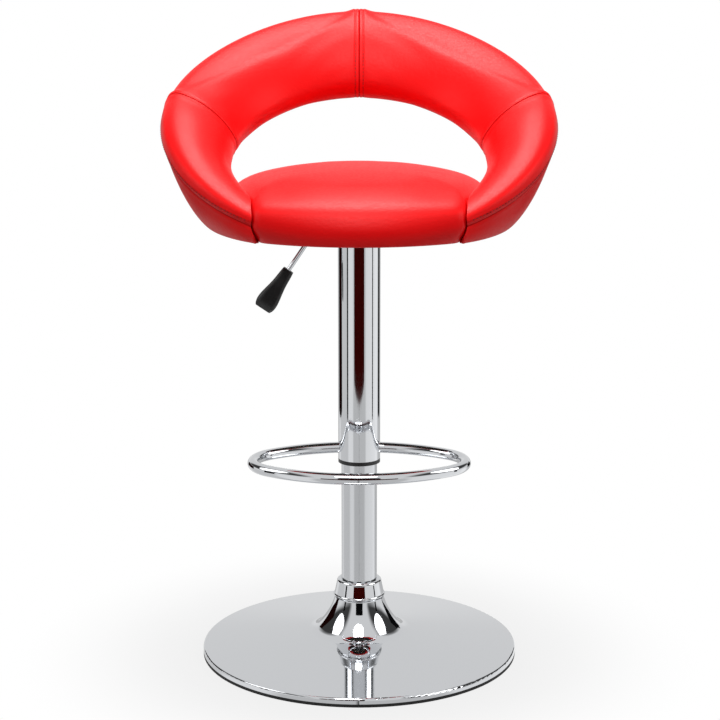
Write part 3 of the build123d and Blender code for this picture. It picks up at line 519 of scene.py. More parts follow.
@dataclass(frozen=True)
class Section:
    """Oval across the padded ring, in millimetres out from and up along the ring's axis."""

    out: float
    up: float
    half: float
    thick: float
    tilt: float
    end_round: float

    def at(self, along: float, across: float) -> tuple[float, float]:
        """Point from distances along and across the oval's long axis."""
        cos, sin = math.cos(self.tilt), math.sin(self.tilt)
        return self.out + along * cos - across * sin, self.up + along * sin + across * cos

    @property
    def joint(self) -> tuple[float, float]:
        """Where the round ends meet the long sides.

        Returns:
            Distances along and across from the middle.
        """
        end_r = self.end_round * self.thick
        reach, slack = self.half - end_r, self.thick - end_r
        drop = (reach**2 - slack**2) / (2 * slack)
        share = end_r / (slack + drop)
        return reach * (1 + share), drop * share

    def arcs(self) -> tuple[Arc, Arc, Arc, Arc]:
        """Outer end, upper side, inner end and lower side, one after the other."""
        x, y = self.joint
        return (
            Arc.through(self.at(x, -y), self.at(self.half, 0), self.at(x, y)),
            Arc.through(self.at(x, y), self.at(0, self.thick), self.at(-x, y)),
            Arc.through(self.at(-x, y), self.at(-self.half, 0), self.at(-x, -y)),
            Arc.through(self.at(-x, -y), self.at(0, -self.thick), self.at(x, -y)),
        )


@dataclass(frozen=True)
class PaddedRing:
    """Leaning circle that the arms and the back follow, in millimetres and degrees from the front."""

    radius: float = 201.0
    centre_y: float = 28.0
    centre_z: float = 679.0
    lean: float = 24.6
    side_at: float = 90.0
    back_at: float = 180.0
    back_blend: float = 0.1
    tilt: float = 30.5
    side_half: float = 52.5
    back_half: float = 65.5
    side_thick: float = 29.0
    back_thick: float = 32.0
    end_round: float = 0.7
    wave: float = 5.0
    waves: int = 3
    wave_blend: float = 6.0
    fade: float = 60.0
    fade_blend: float = 0.06
    tip_in: float = 2.0
    tip_in_bend: int = 3
    tip_drop: float = 28.0
    tip_drop_bend: float = 1.3
    tip_out: float = 50.0
    tip_out_bend: float = 1.6
    tip_rise: float = 14.0
    tip_rise_bend: int = 2
    tip_thin: float = 17.0
    tip_thin_bend: float = 1.2
    waist: float = 8.7
    waist_at: float = 76.5
    waist_spread: float = 28.5
    oval_most: float = 0.85
    arm_end: float = 100.0
    seam_skew: float = 10.0
    skew_ahead: float = 40.0
    skew_behind: float = 55.0

    def section(self, angle: float) -> Section:
        """Oval at an angle: fuller at the back, and running down into the seat's corner at the front.

        Args:
            angle: Degrees from the front.

        Returns:
            The oval.
        """
        back = soft_ramp(-math.cos(math.radians(angle)), self.back_blend)
        front = soft_ramp((self.side_at - angle) / self.fade, self.fade_blend)
        half = self.side_half + (self.back_half - self.side_half) * back
        thick = self.side_thick + (self.back_thick - self.side_thick) * back
        thick -= self.tip_thin * front**self.tip_thin_bend
        past_side = self.side_at + soft_ramp(angle - self.side_at, self.wave_blend)
        rise = -self.wave * math.cos(self.waves * math.radians(past_side))
        waist = self.waist * math.exp(-(((angle - self.waist_at) / self.waist_spread) ** 2))
        tilt = math.radians(self.tilt)
        outer = np.array(
            [
                self.radius + half * math.cos(tilt) - self.tip_in * front**self.tip_in_bend,
                half * math.sin(tilt) + rise - self.tip_drop * front**self.tip_drop_bend,
            ]
        )
        inner = np.array(
            [
                self.radius - half * math.cos(tilt) + self.tip_out * front**self.tip_out_bend + waist,
                -half * math.sin(tilt) + rise + self.tip_rise * front**self.tip_rise_bend,
            ]
        )
        middle, along = (outer + inner) / 2, (outer - inner) / 2
        length = float(np.hypot(*along))
        return Section(
            middle[0],
            middle[1],
            length,
            min(thick, self.oval_most * length),
            math.atan2(along[1], along[0]),
            self.end_round,
        )

    def in_frame(self, angle: float, side: Side, flat: np.ndarray) -> np.ndarray:
        """Puts points of the section at an angle into the shared frame.

        The side seam runs further forward on the inside than on the outside, so sections near it are
        sheared to lie along it.

        Args:
            angle: Degrees from the front.
            side: Half of the stool.
            flat: Distances out from and up along the ring's axis, in millimetres.

        Returns:
            Points in millimetres.
        """
        oval = self.section(angle)
        share = (flat - (oval.out, oval.up)) @ (math.cos(oval.tilt), math.sin(oval.tilt)) / oval.half
        fade = (self.arm_end - angle) / (self.skew_ahead if angle < self.arm_end else -self.skew_behind)
        shear = self.seam_skew * smooth_step(1 - fade)
        turn = np.radians(angle - shear * (1 - np.clip(share, -1, 1)) / 2)
        lean = math.radians(self.lean)
        ahead = -np.cos(turn)
        outwards = np.stack([side.value * np.sin(turn), ahead * math.cos(lean), ahead * math.sin(lean)], 1)
        upwards = np.array([0.0, -math.sin(lean), math.cos(lean)])
        centre = np.array([0.0, self.centre_y, self.centre_z])
        return centre + flat[:, :1] * outwards + flat[:, 1:] * upwards


@dataclass(frozen=True)
class SeamEnd:
    """How a pad turns in where it is sewn to its neighbour, in millimetres from the seam."""

    turn_in: float = 2.6
    gap: float = -0.05
    row: float = 5.0
    row_depth: float = 0.9
    row_edges: tuple[float, float] = (1.4, 3.2)
    ridge_shift: float = 0.2
    bends: tuple[float, ...] = (90.0, 65.0, 40.0, 18.0)
    deepen: float = 1.1

    def rings(self) -> tuple[np.ndarray, np.ndarray]:
        """Places the rings of the turned-in end, the ridge beside it and the stitches' groove.

        Returns:
            Distance from the seam and depth below the pad's surface, ring by ring.
        """
        bends = np.radians(self.bends)
        ridge = (self.turn_in + self.row) / 2 + self.ridge_shift
        places = [ridge, self.row] + [self.row + edge for edge in self.row_edges]
        distances = np.concatenate([self.gap + self.turn_in * (1 - np.sin(bends)), places])
        turned = self.turn_in * (1 - np.cos(bends)) * self.deepen
        return distances, np.concatenate([turned, [0, self.row_depth, 0, 0]])

    @property
    def row_ring(self) -> int:
        """Number of the ring that the stitches lie in."""
        return len(self.bends) + 1


@dataclass(frozen=True)
class Inflation:
    """How a cover is blown up against the lines where it is sewn."""

    pressure: float = 4.0
    most_mm: float = 4.0
    start_in_mm: float = 0.5
    last_frame: int = 20
    quality: int = 6
    smoothing: int = 10
    own_share: float = 0.4
    free_gain: float = 4.0
    mass: float = 0.02
    stretch: float = 6.0
    shear: float = 2.0
    bend: float = 1.0

    def run(self, piece: bpy.types.Object, held: np.ndarray) -> None:
        """Simulates the cover as cloth under pressure and keeps the result in the mesh.

        Args:
            piece: Closed mesh of the pad.
            held: How firmly each vertex is sewn down, from 0 to 1.
        """
        mesh = piece.data
        count = len(mesh.vertices)
        rest = np.empty(count * 3)
        mesh.vertices.foreach_get("co", rest)
        rest = rest.reshape(-1, 3)
        normals = np.array([v.normal for v in mesh.vertices])
        free = 1 - held
        smaller = rest - normals * (self.start_in_mm * MM * free)[:, None]
        mesh.vertices.foreach_set("co", smaller.ravel())
        mesh.update()
        group = piece.vertex_groups.new(name="sewn_down")
        for vertex in np.flatnonzero(held > 0):
            group.add([int(vertex)], float(held[vertex]), "REPLACE")
        cloth = piece.modifiers.new("cover", "CLOTH")
        cover = cloth.settings
        cover.quality = self.quality
        cover.mass = self.mass
        cover.tension_stiffness = cover.compression_stiffness = self.stretch
        cover.shear_stiffness = self.shear
        cover.bending_stiffness = self.bend
        cover.use_pressure = True
        cover.uniform_pressure_force = self.pressure
        cover.effector_weights.gravity = 0
        cover.vertex_group_mass = group.name
        cloth.collision_settings.use_collision = False
        cloth.point_cache.frame_start, cloth.point_cache.frame_end = 1, self.last_frame
        scene = bpy.context.scene
        for step in range(1, self.last_frame + 1):
            scene.frame_set(step)
        solved = np.empty(count * 3)
        piece.evaluated_get(bpy.context.evaluated_depsgraph_get()).data.vertices.foreach_get("co", solved)
        piece.modifiers.remove(cloth)
        piece.vertex_groups.remove(group)
        scene.frame_set(1)
        moved = solved.reshape(-1, 3) - smaller
        # The foam inside lets the cover swell but not draw in
        moved -= normals * np.minimum(0, (moved * normals).sum(1, keepdims=True))
        moved = self.even_out(mesh, moved, free)
        length = np.linalg.norm(moved, axis=1, keepdims=True)
        moved *= np.minimum(1, self.most_mm * MM / np.maximum(length, TINY))
        mesh.vertices.foreach_set("co", (smaller + moved).ravel())
        mesh.update()
        log.info("%s: swelled by up to %.1f mm", piece.name, float(np.linalg.norm(moved, axis=1).max()) / MM)

    def even_out(self, mesh: bpy.types.Mesh, moved: np.ndarray, free: np.ndarray) -> np.ndarray:
        """Averages each vertex's movement with its neighbours', leaving sewn ones still.

        Args:
            mesh: Mesh whose edges tell the neighbours.
            moved: Movement of each vertex.
            free: How free each vertex is, from 0 to 1.

        Returns:
            The evened movement.
        """
        ends = np.empty(len(mesh.edges) * 2, int)
        mesh.edges.foreach_get("vertices", ends)
        ends = ends.reshape(-1, 2)
        degree = np.bincount(ends.ravel(), minlength=len(free))[:, None]
        hold = np.minimum(1, free * self.free_gain)[:, None]
        for _ in range(self.smoothing):
            total = np.zeros_like(moved)
            np.add.at(total, ends[:, 0], moved[ends[:, 1]])
            np.add.at(total, ends[:, 1], moved[ends[:, 0]])
            moved = (self.own_share * moved + (1 - self.own_share) * total / degree) * hold
        return moved


@dataclass(frozen=True)
class StitchRow:
    """Row of thread stitches that lie in a groove of a pad."""

    pitch_mm: float = 5.0
    length_mm: float = 3.2
    width_mm: float = 1.2
    around: int = 6
    stations: tuple[float, ...] = (-1.0, -0.8, -0.35, 0.0, 0.35, 0.8, 1.0)
    end_width: float = 0.02
    lift: float = 0.3
    end_sink: float = 1.6

    def sew(
        self,
        name: str,
        pad: bpy.types.Object,
        path: np.ndarray,
        finish: bpy.types.Material,
    ) -> bpy.types.Object:
        """Lays stitches along a path on a pad's surface.

        Args:
            name: Name of the row.
            pad: Pad that carries the row.
            path: Points in metres, one after the other.
            finish: Thread.

        Returns:
            One mesh that holds all the stitches.
        """
        surface = BVHTree.FromObject(pad, bpy.context.evaluated_depsgraph_get())
        reach = reach_along(path)
        points: list[Vector] = []
        faces: list[list[int]] = []
        for stitch in range(int(reach[-1] / (self.pitch_mm * MM))):
            middle = (stitch + 0.5) * self.pitch_mm * MM
            places = middle + np.array([-1.0, 0.0, 1.0]) * MM
            before, here, after = points_at(places, reach, path)
            spot, normal, _, _ = surface.find_nearest(Vector(here))
            along = Vector(after - before).normalized()
            across = normal.cross(along).normalized()
            first = len(points)
            for station in self.stations:
                swell = math.sqrt(max(0.0, 1 - station**2)) + self.end_width
                lift = self.lift * self.width_mm * MM * (1 - self.end_sink * station**2)
                centre = spot + along * (station * self.length_mm * MM / 2) + normal * lift
                for step in range(self.around):
                    turn = math.tau * step / self.around
                    round_it = across * math.cos(turn) + normal * math.sin(turn)
                    points.append(centre + round_it * (swell * self.width_mm * MM / 2))
            faces += band_faces(first, len(self.stations), self.around)
        row = mesh_object(name, np.array([list(p) for p in points]), faces, finish)
        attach(row, "seat")
        return row


@dataclass
class PaddedPiece:
    """Base of the padded pieces: a skin over rings of points, blown up, sewn and put in its node's place."""

    node: str
    leather: bpy.types.Material
    thread: bpy.types.Material
    inflation: Inflation = field(default_factory=Inflation)
    # Painted shade along the stitch rows
    row_shade: float = 0.3

    def upholster(self, rings: np.ndarray, held: np.ndarray, sewn: np.ndarray) -> bpy.types.Object:
        """Makes the cover from its rings and lets it stand for the plain solid.

        Args:
            rings: Points in millimetres, as rings by points by three.
            held: How firmly each point is held while the cover is blown up, as rings by points.
            sewn: How deep in a seam each point lies, from 0 to 1, as rings by points; it sets the painted
                shade in the seams.

        Returns:
            The cover.
        """
        count, around, _ = rings.shape
        tips = np.stack([rings[0].mean(0), rings[-1].mean(0)])
        points = np.concatenate([rings.reshape(-1, 3), tips]) * MM
        cover = mesh_object(self.node + "_cover", points, ring_faces(count, around), self.leather)
        depth = cover.data.attributes.new("sewn", "FLOAT", "POINT")
        depth.data.foreach_set("value", np.concatenate([sewn.ravel(), [0, 0]]).astype(np.float32))
        self.inflation.run(cover, np.concatenate([held.ravel(), [held[0].mean(), held[-1].mean()]]))
        fine = cover.modifiers.new("fine", "SUBSURF")
        fine.levels = fine.render_levels = 1
        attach(cover, "seat")
        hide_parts(self.node)
        log.info("%s: %d points", cover.name, len(points))
        return cover

    def ring_path(self, cover: bpy.types.Object, numbers: Sequence[int]) -> np.ndarray:
        """Places of some of the cover's points after it was blown up, in metres."""
        return np.array([list(cover.data.vertices[n].co) for n in numbers])


@dataclass
class BackPad(PaddedPiece):
    """Half of the padded back, from the side seam to the seam at the middle."""

    side: Side = Side.LEFT
    ring: PaddedRing = field(default_factory=PaddedRing)
    side_seam: SeamEnd = field(default_factory=lambda: SeamEnd(row=4.2))
    middle_seam: SeamEnd = field(default_factory=lambda: SeamEnd(turn_in=1.9, gap=-0.3, row=5.2))
    stations: int = 120
    middle_rings: int = 42
    dark_rings: int = 3
    end_points: int = 14
    side_points: int = 24

    def outline(self, angle: float) -> np.ndarray:
        """Closed oval at an angle.

        Args:
            angle: Degrees from the front.

        Returns:
            Points in the shared frame, in millimetres.
        """
        arcs = self.ring.section(angle).arcs()
        counts = (self.end_points, self.side_points, self.end_points, self.side_points)
        flat = np.concatenate([arc.points(evenly(count)) for arc, count in zip(arcs, counts)])
        return self.ring.in_frame(angle, self.side, flat)

    def build(self) -> list[bpy.types.Object]:
        """Makes the pad and the stitch rows at its two ends.

        Returns:
            The pad and its rows.
        """
        angles = np.linspace(self.ring.arm_end, self.ring.back_at, self.stations)
        lines = np.array([self.outline(angle) for angle in angles])
        (first, first_depths), (last, last_depths) = self.side_seam.rings(), self.middle_seam.rings()
        stops = np.full(lines.shape[1], len(lines) - 1.0)
        rings = divide_lines(lines, stops, first, last[::-1], self.middle_rings)
        count, around, _ = rings.shape
        depths = np.concatenate([first_depths, np.zeros(self.middle_rings), last_depths[::-1]])
        rings -= outward(rings) * depths[:, None, None]
        held, sewn = np.zeros((count, around)), np.zeros((count, around))
        held[: len(first)] = held[-len(last) :] = 1.0
        first_row, last_row = self.side_seam.row_ring, count - 1 - self.middle_seam.row_ring
        # Painted shade in the seams at both ends and along the stitch rows
        sewn[: self.dark_rings] = sewn[-self.dark_rings :] = 1.0
        sewn[[first_row, last_row]] = self.row_shade
        cover = self.upholster(rings, held, sewn)
        made = [cover]
        for name, row in (("side", first_row), ("middle", last_row)):
            loop = [row * around + step % around for step in range(around + 1)]
            path = self.ring_path(cover, loop)
            made.append(StitchRow().sew(f"{name}_stitches_{self.side.word}", cover, path, self.thread))
        return made


@dataclass
class SeatCushion(PaddedPiece):
    """Padded seat with a crown, walls that draw in to its board and a pocket for the board."""

    front_half: float = 125.0
    rear_r: float = 166.0
    rear_y: float = 31.0
    side_bow: float = 2.0
    corner_y: float = -166.0
    front_y: float = -192.0
    bottom: float = 562.0
    height: float = 66.0
    crown_side: float = 62.0
    crown_corner: float = 92.0
    crown_front: float = 99.0
    crown_rise: float = 2.5
    underside_lift: float = 0.6
    board_top: float = 578.3
    board_inset: float = 15.4
    board_corner_in: float = 43.4
    board_front_in: float = 33.4
    middle_y: float = 0.0
    wall_shares: tuple[float, ...] = (0.0, 0.16, 0.37, 0.55)
    side_insets: tuple[float, ...] = (8.0, 2.0, 0.0, 0.8)
    corner_insets: tuple[float, ...] = (18.0, 7.0, 0.0, 1.5)
    front_insets: tuple[float, ...] = (7.0, 0.5, 1.8, 8.0)
    tuck_insets: tuple[float, ...] = (9.0, 2.5, 0.0, 0.3)
    tuck_share: float = 0.25
    wall_start: float = 0.015
    wall_top: float = 0.55
    wall_rings: int = 11
    crown_bends: tuple[float, float] = (8.0, 88.0)
    crown_rings: int = 13
    crown_scales: tuple[float, ...] = (0.92, 0.83, 0.73, 0.62, 0.5, 0.38, 0.26, 0.15, 0.06)
    pocket_scales: tuple[float, ...] = (0.1, 0.4, 0.7, 0.9, 0.98)
    pocket_edge: float = 1.0
    underside_shares: tuple[float, ...] = (0.1, 0.6)
    edge_rounding: int = 7
    free_front_y: float = -172.0
    free_fade: float = 20.0
    free_top: float = 0.85
    front_points: int = 48
    side_points: int = 36
    rear_points: int = 40
    corner_rounding: int = 4

    def levels(self, shares: np.ndarray) -> np.ndarray:
        """How far the seat is drawn in at shares of its height.

        Args:
            shares: Shares of the height, from 0 to 1.

        Returns:
            Insets of the sides, the corners, the front and the front's width, one row for each share.
        """
        insets = (self.side_insets, self.corner_insets, self.front_insets, self.tuck_insets)
        low = np.clip(shares, 0, self.wall_top)
        wall = np.stack([smooth_through(low, self.wall_shares, values) for values in insets], 1)
        rise = np.clip((shares - self.wall_top) / (1 - self.wall_top), 0, 1)
        run = 1 - np.sqrt(1 - rise**2)
        tuck = self.crown_side * self.tuck_share
        return wall + run[:, None] * np.array([self.crown_side, self.crown_corner, self.crown_front, tuck])

    def outline(self, inset: float, corner_in: float, front_in: float, tuck: float) -> np.ndarray:
        """Plan of the seat: a bowed front, two sides and a round rear, with its front corners rounded off.

        Args:
            inset: How far the sides and the rear are drawn in.
            corner_in: How far the front corners are drawn back.
            front_in: How far the middle of the front is drawn back.
            tuck: How far the front corners are drawn together.

        Returns:
            Points of the closed outline.
        """
        front_x, rear_r = self.front_half - tuck, self.rear_r - inset
        corner_y, front_y = self.corner_y + corner_in, self.front_y + front_in
        diagonal = rear_r * math.sqrt(0.5)
        bow = (front_x + rear_r) / 2 + self.side_bow, (corner_y + self.rear_y) / 2
        rear, slant = (0, self.rear_y + rear_r), self.rear_y + diagonal
        arcs = (
            (Arc.through((-front_x, corner_y), (0, front_y), (front_x, corner_y)), self.front_points),
            (Arc.through((front_x, corner_y), bow, (rear_r, self.rear_y)), self.side_points),
            (Arc.through((rear_r, self.rear_y), (diagonal, slant), rear), self.rear_points),
            (Arc.through(rear, (-diagonal, slant), (-rear_r, self.rear_y)), self.rear_points),
            (Arc.through((-rear_r, self.rear_y), (-bow[0], bow[1]), (-front_x, corner_y)), self.side_points),
        )
        plan = np.concatenate([arc.points(evenly(count)) for arc, count in arcs])
        for _ in range(self.corner_rounding):
            plan = plan / 2 + (np.roll(plan, 1, 0) + np.roll(plan, -1, 0)) / 4
        return plan

    def front_width(self, z: np.ndarray) -> np.ndarray:
        """Half width between the front corners at heights, as far up as the walls reach."""
        share = np.clip((z - self.bottom) / self.height, 0, self.wall_top)
        return self.front_half - self.levels(share)[:, 3]

    def half_width(self, y: np.ndarray, z: np.ndarray) -> np.ndarray:
        """Half width of the seat at places along it and heights.

        Args:
            y: Places along the seat.
            z: Heights.

        Returns:
            Half widths, zero where there is no seat.
        """
        share = (z - self.bottom) / self.height
        inset, corner_in, _, tuck = self.levels(np.clip(share, 0, 1)).T
        front_x, rear_r, corner_y = self.front_half - tuck, self.rear_r - inset, self.corner_y + corner_in
        t = np.clip((y - corner_y) / (self.rear_y - corner_y), 0, 1)
        along = front_x + (rear_r - front_x) * t + 4 * self.side_bow * t * (1 - t)
        behind = np.sqrt(np.maximum(0, rear_r**2 - np.maximum(0, y - self.rear_y) ** 2))
        width = np.where(y > self.rear_y, behind, along)
        return np.where((share < 0) | (share > 1) | (y < corner_y), 0.0, width)

    def build(self) -> list[bpy.types.Object]:
        """Makes the cushion from its pocket, its underside, its walls and its crown.

        Returns:
            The cushion.
        """
        rings: list[np.ndarray] = []
        middle = np.array([0.0, self.middle_y])

        def ring(plan: np.ndarray, z: float) -> None:
            """Adds a ring at a height."""
            rings.append(np.column_stack([plan, np.full(len(plan), z)]))

        board_tuck = self.board_inset * self.tuck_share
        pocket = self.outline(self.board_inset, self.board_corner_in, self.board_front_in, board_tuck)
        underside = self.bottom + self.underside_lift
        for scale in self.pocket_scales:
            ring(middle + (pocket - middle) * scale, self.board_top)
        edge = self.pocket_edge
        for z in (self.board_top - edge, (self.board_top + underside) / 2, underside + edge):
            ring(pocket, z)
        foot = self.outline(*self.levels(np.array([0.0]))[0])
        for share in self.underside_shares:
            ring(pocket + (foot - pocket) * share, underside)
        sewn_rings = len(rings) + 1
        bends = np.radians(np.linspace(*self.crown_bends, self.crown_rings))
        walls = np.linspace(self.wall_start, self.wall_top, self.wall_rings)
        shares = np.concatenate([walls, self.wall_top + (1 - self.wall_top) * np.sin(bends)])
        for share, insets in zip(shares, self.levels(shares)):
            ring(self.outline(*insets), self.bottom + self.height * share)
        rim = rings[-1][:, :2]
        top = rings[-1][0, 2]
        for scale in self.crown_scales:
            ring(middle + (rim - middle) * scale, top + self.crown_rise * (1 - scale**2))
        skin = np.array(rings)
        for _ in range(self.edge_rounding):
            eased = skin[sewn_rings:-1] / 2 + (skin[sewn_rings - 1 : -2] + skin[sewn_rings + 1 :]) / 4
            skin[sewn_rings:-1] = eased
        behind = np.clip((skin[:, :, 1] - self.free_front_y) / self.free_fade, 0, 1)
        share = (skin[:, :, 2] - self.bottom) / self.height
        held = behind * np.clip((self.free_top - share) / (self.free_top - self.wall_top), 0, 1)
        held[:sewn_rings] = 1.0
        return [self.upholster(skin, held, np.zeros_like(held))]


@dataclass
class ArmPad(PaddedPiece):
    """Padded arm: a roll that runs down into the seat's corner, and an outer panel below a sewn seam."""

    side: Side = Side.LEFT
    cushion: SeatCushion | None = None
    ring: PaddedRing = field(default_factory=PaddedRing)
    side_seam: SeamEnd = field(default_factory=lambda: SeamEnd(row=4.2, row_depth=0.7))
    front: float = 30.0
    web_full: float = 68.0
    panel_bulge: float = 7.0
    bulge_least: float = 0.35
    under_half_w: float = 190.0
    under_half_d: float = 220.0
    under_inner_r: float = 140.0
    under_spare: float = 3.0
    roll_foot_along: float = 0.4
    roll_foot_across: float = 0.97
    front_cut_y: float = -122.0
    gap: float = 0.6
    stations: int = 141
    middle_rings: int = 44
    end_points: int = 10
    upper_points: int = 24
    inner_points: int = 14
    wall_points: int = 8
    floor_points: int = 8
    panel_points: int = 18
    beside_points: int = 3
    front_lead: tuple[float, ...] = (8.0, 5.0)
    front_turn_in: float = 3.2
    front_bends: tuple[float, ...] = (15.0, 40.0, 65.0, 90.0)
    front_gap: float = 0.05
    front_shown: tuple[int, int] = (24, 36)
    panel_fade: int = 3
    seam_steps: tuple[float, ...] = (0.0, 1.7, 3.4, 5.2, 7.0, 8.8)
    second_groove: int = 2
    stitch_column: int = 4
    groove_depth: float = 0.55
    # Painted shade in the seam and in the groove beside it
    seam_shade: float = 0.9
    groove_shade: float = 0.4
    dark_rings: tuple[int, int] = (3, 2)
    settle_rounds: int = 4
    settle_pull: float = 0.5
    row_margin: int = 4

    def under_height(self, angle: float, reach: float) -> float:
        """Height of the seat's underside along the ring's axis.

        Args:
            angle: Degrees from the front.
            reach: Distance from the ring's axis.

        Returns:
            Height above the ring's centre.
        """
        lean = math.radians(self.ring.lean)
        ahead = reach * math.cos(math.radians(angle)) * math.sin(lean)
        return (self.cushion.bottom - self.under_spare - self.ring.centre_z + ahead) / math.cos(lean)

    def under_edge(self, angle: float) -> np.ndarray:
        """Lower edge of the outer panel: an oval on the seat's underside, cut by the section.

        Args:
            angle: Degrees from the front.

        Returns:
            Distances out from and up along the ring's axis.
        """
        lean, turn = math.radians(self.ring.lean), math.radians(angle)
        across = math.sin(turn) / self.under_half_w
        ahead = math.cos(turn) / math.cos(lean) / self.under_half_d
        behind = (self.ring.centre_z - self.cushion.bottom) * math.tan(lean) / self.under_half_d
        square = across**2 + ahead**2
        reach = (behind * ahead + math.sqrt((behind * ahead) ** 2 - square * (behind**2 - 1))) / square
        return np.array([reach, self.under_height(angle, reach)])

    def outline(self, angle: float) -> np.ndarray:
        """Closed section of the arm, from its outer seam over the roll, down inside and back up the panel.

        Args:
            angle: Degrees from the front.

        Returns:
            Distances out from and up along the ring's axis.
        """
        oval = self.ring.section(angle)
        outer, upper, inner, _ = oval.arcs()
        web = smooth_step(1 - (angle - self.web_full) / (self.ring.arm_end - self.web_full))
        seam, root = outer.points([0.0])[0], inner.points([1.0])[0]
        foot_x, foot_y = self.roll_foot_along * oval.half, -self.roll_foot_across * oval.thick
        roll_outer, roll_inner = np.array(oval.at(foot_x, foot_y)), np.array(oval.at(-foot_x, foot_y))
        floor_inner = np.array([self.under_inner_r, self.under_height(angle, self.under_inner_r)])
        lower_outer = roll_outer + (self.under_edge(angle) - roll_outer) * web
        lower_inner = roll_inner + (floor_inner - roll_inner) * web
        chord = lower_outer - seam
        bulge = np.array([-chord[1], chord[0]]) / np.hypot(*chord)
        bulge *= self.panel_bulge * (self.bulge_least + (1 - self.bulge_least) * web)
        panel = Arc.through(lower_outer, (lower_outer + seam) / 2 + bulge, seam)
        by_seam = np.array(self.seam_steps)
        rest_of_end = np.linspace(by_seam[-1] / outer.length, 1, self.end_points, endpoint=False)[1:]
        beside = 1 - by_seam[self.beside_points : 0 : -1] / panel.length
        up_panel = np.linspace(0, beside[0], self.panel_points, endpoint=False)
        return np.concatenate(
            [
                outer.points(np.concatenate([by_seam / outer.length, rest_of_end])),
                upper.points(evenly(self.upper_points)),
                inner.points(evenly(self.inner_points)),
                root + (lower_inner - root) * evenly(self.wall_points)[:, None],
                lower_inner + (lower_outer - lower_inner) * evenly(self.floor_points)[:, None],
                panel.points(np.concatenate([up_panel, beside])),
            ]
        )

    def clear_of_seat(self, points: np.ndarray) -> np.ndarray:
        """Pushes points out of the cushion, off the seat's front and up to the seat's underside.

        Args:
            points: Points in millimetres.

        Returns:
            The pushed points.
        """
        x, y, z = points.T
        z = np.maximum(z, self.cushion.bottom + self.gap)
        least = np.where(y < self.front_cut_y, self.cushion.front_width(z) + self.gap, 0.0)
        seat = self.cushion.half_width(y, z)
        least = np.maximum(least, np.where(seat > 0, seat + self.gap, 0.0))
        return np.column_stack([self.side.value * np.maximum(np.abs(x), least), y, z])

    def front_stops(self, lines: np.ndarray) -> np.ndarray:
        """Station, with its fraction, at which each lengthwise line reaches the seat's front corner.

        Args:
            lines: Points, as stations by lines by three.

        Returns:
            One station for each line.
        """
        stops = []
        for line in lines.transpose(1, 0, 2):
            room = np.abs(line[:, 0]) - self.cushion.front_width(line[:, 2]) - self.gap
            inside = np.flatnonzero(room < 0)
            if len(inside):
                station = inside[0]
                stops.append(station - room[station] / (room[station] - room[station - 1]))
            else:
                stops.append(len(line) - 1)
        return np.array(stops, float)

    def settle(self, rings: np.ndarray, held: np.ndarray) -> np.ndarray:
        """Rounds off the corners that the pushes leave, ring by ring and along the arm.

        Args:
            rings: Points in millimetres, as rings by points by three.
            held: How firmly each point is held, as rings by points.

        Returns:
            The rounded rings.
        """
        for _ in range(self.settle_rounds):
            around = (np.roll(rings, 1, 1) + np.roll(rings, -1, 1)) / 2
            longer = np.concatenate([rings[:1], rings, rings[-1:]])
            lengthwise = (longer[:-2] + longer[2:]) / 2
            pull = self.settle_pull * (1 - held)[:, :, None]
            rings = rings + pull * ((around + lengthwise) / 2 - rings)
            rings = np.array([self.clear_of_seat(ring) for ring in rings])
        return rings

    def build(self) -> list[bpy.types.Object]:
        """Makes the arm and the stitch row along its outer seam.

        Returns:
            The arm and its row.
        """
        angles = np.linspace(self.ring.arm_end, self.front, self.stations)
        lines = np.array([self.ring.in_frame(angle, self.side, self.outline(angle)) for angle in angles])
        first, depths = self.side_seam.rings()
        bends = np.radians(self.front_bends)
        last = np.concatenate([self.front_lead, self.front_turn_in * (1 - np.sin(bends)) + self.front_gap])
        front_depths = np.zeros(len(last))
        front_depths[-len(bends) :] = self.front_turn_in * (1 - np.cos(bends))
        rings = divide_lines(lines, self.front_stops(lines), first, last, self.middle_rings)
        rings = np.array([self.clear_of_seat(ring) for ring in rings])
        count, around, _ = rings.shape
        panel = around - self.panel_points - self.beside_points
        wall = panel - self.wall_points - self.floor_points
        held = np.zeros((count, around))
        held[:, : len(self.seam_steps)] = held[:, -self.beside_points :] = 1.0
        held[: len(first)] = held[-len(bends) :] = 1.0
        rings = self.settle(rings, held)
        held[:, wall:panel] = 1.0
        depths = np.concatenate([depths, np.zeros(len(rings) - len(depths))])[:, None] * np.ones(around)
        # The front end turns in where it shows, on the roll and on the panel
        fades = (*self.front_shown, panel - 1, panel + self.panel_fade)
        depths[-len(last) :] += front_depths[:, None] * np.interp(np.arange(around), fades, (1, 0, 0, 1))
        # Painted shade in the seam's grooves and along the stitch row
        sewn = np.zeros_like(held)
        for column, shade in (
            (0, self.seam_shade),
            (self.second_groove, self.groove_shade),
            (self.stitch_column, self.row_shade),
        ):
            depths[:, column] += self.groove_depth
            sewn[:, column] = shade
        ways = outward(rings)
        ways[-len(last) :] = ways[-len(last) - 1]
        rings -= ways * depths[:, :, None]
        rings[-len(last) :] = [self.clear_of_seat(ring) for ring in rings[-len(last) :]]
        # Painted shade in the seams at both ends and along the stitch row
        sewn[: self.dark_rings[0]] = sewn[-self.dark_rings[1] :] = 1.0
        sewn[self.side_seam.row_ring] = self.row_shade
        cover = self.upholster(rings, held, sewn)
        sewn_along = range(self.row_margin, count - self.row_margin)
        path = self.ring_path(cover, [ring * around + self.stitch_column for ring in sewn_along])
        row = StitchRow().sew(f"arm_stitches_{self.side.word}", cover, path, self.thread)
        return [cover, row]


# Studio

MATT = {"Roughness": 1.0, "Specular IOR Level": 0.0}


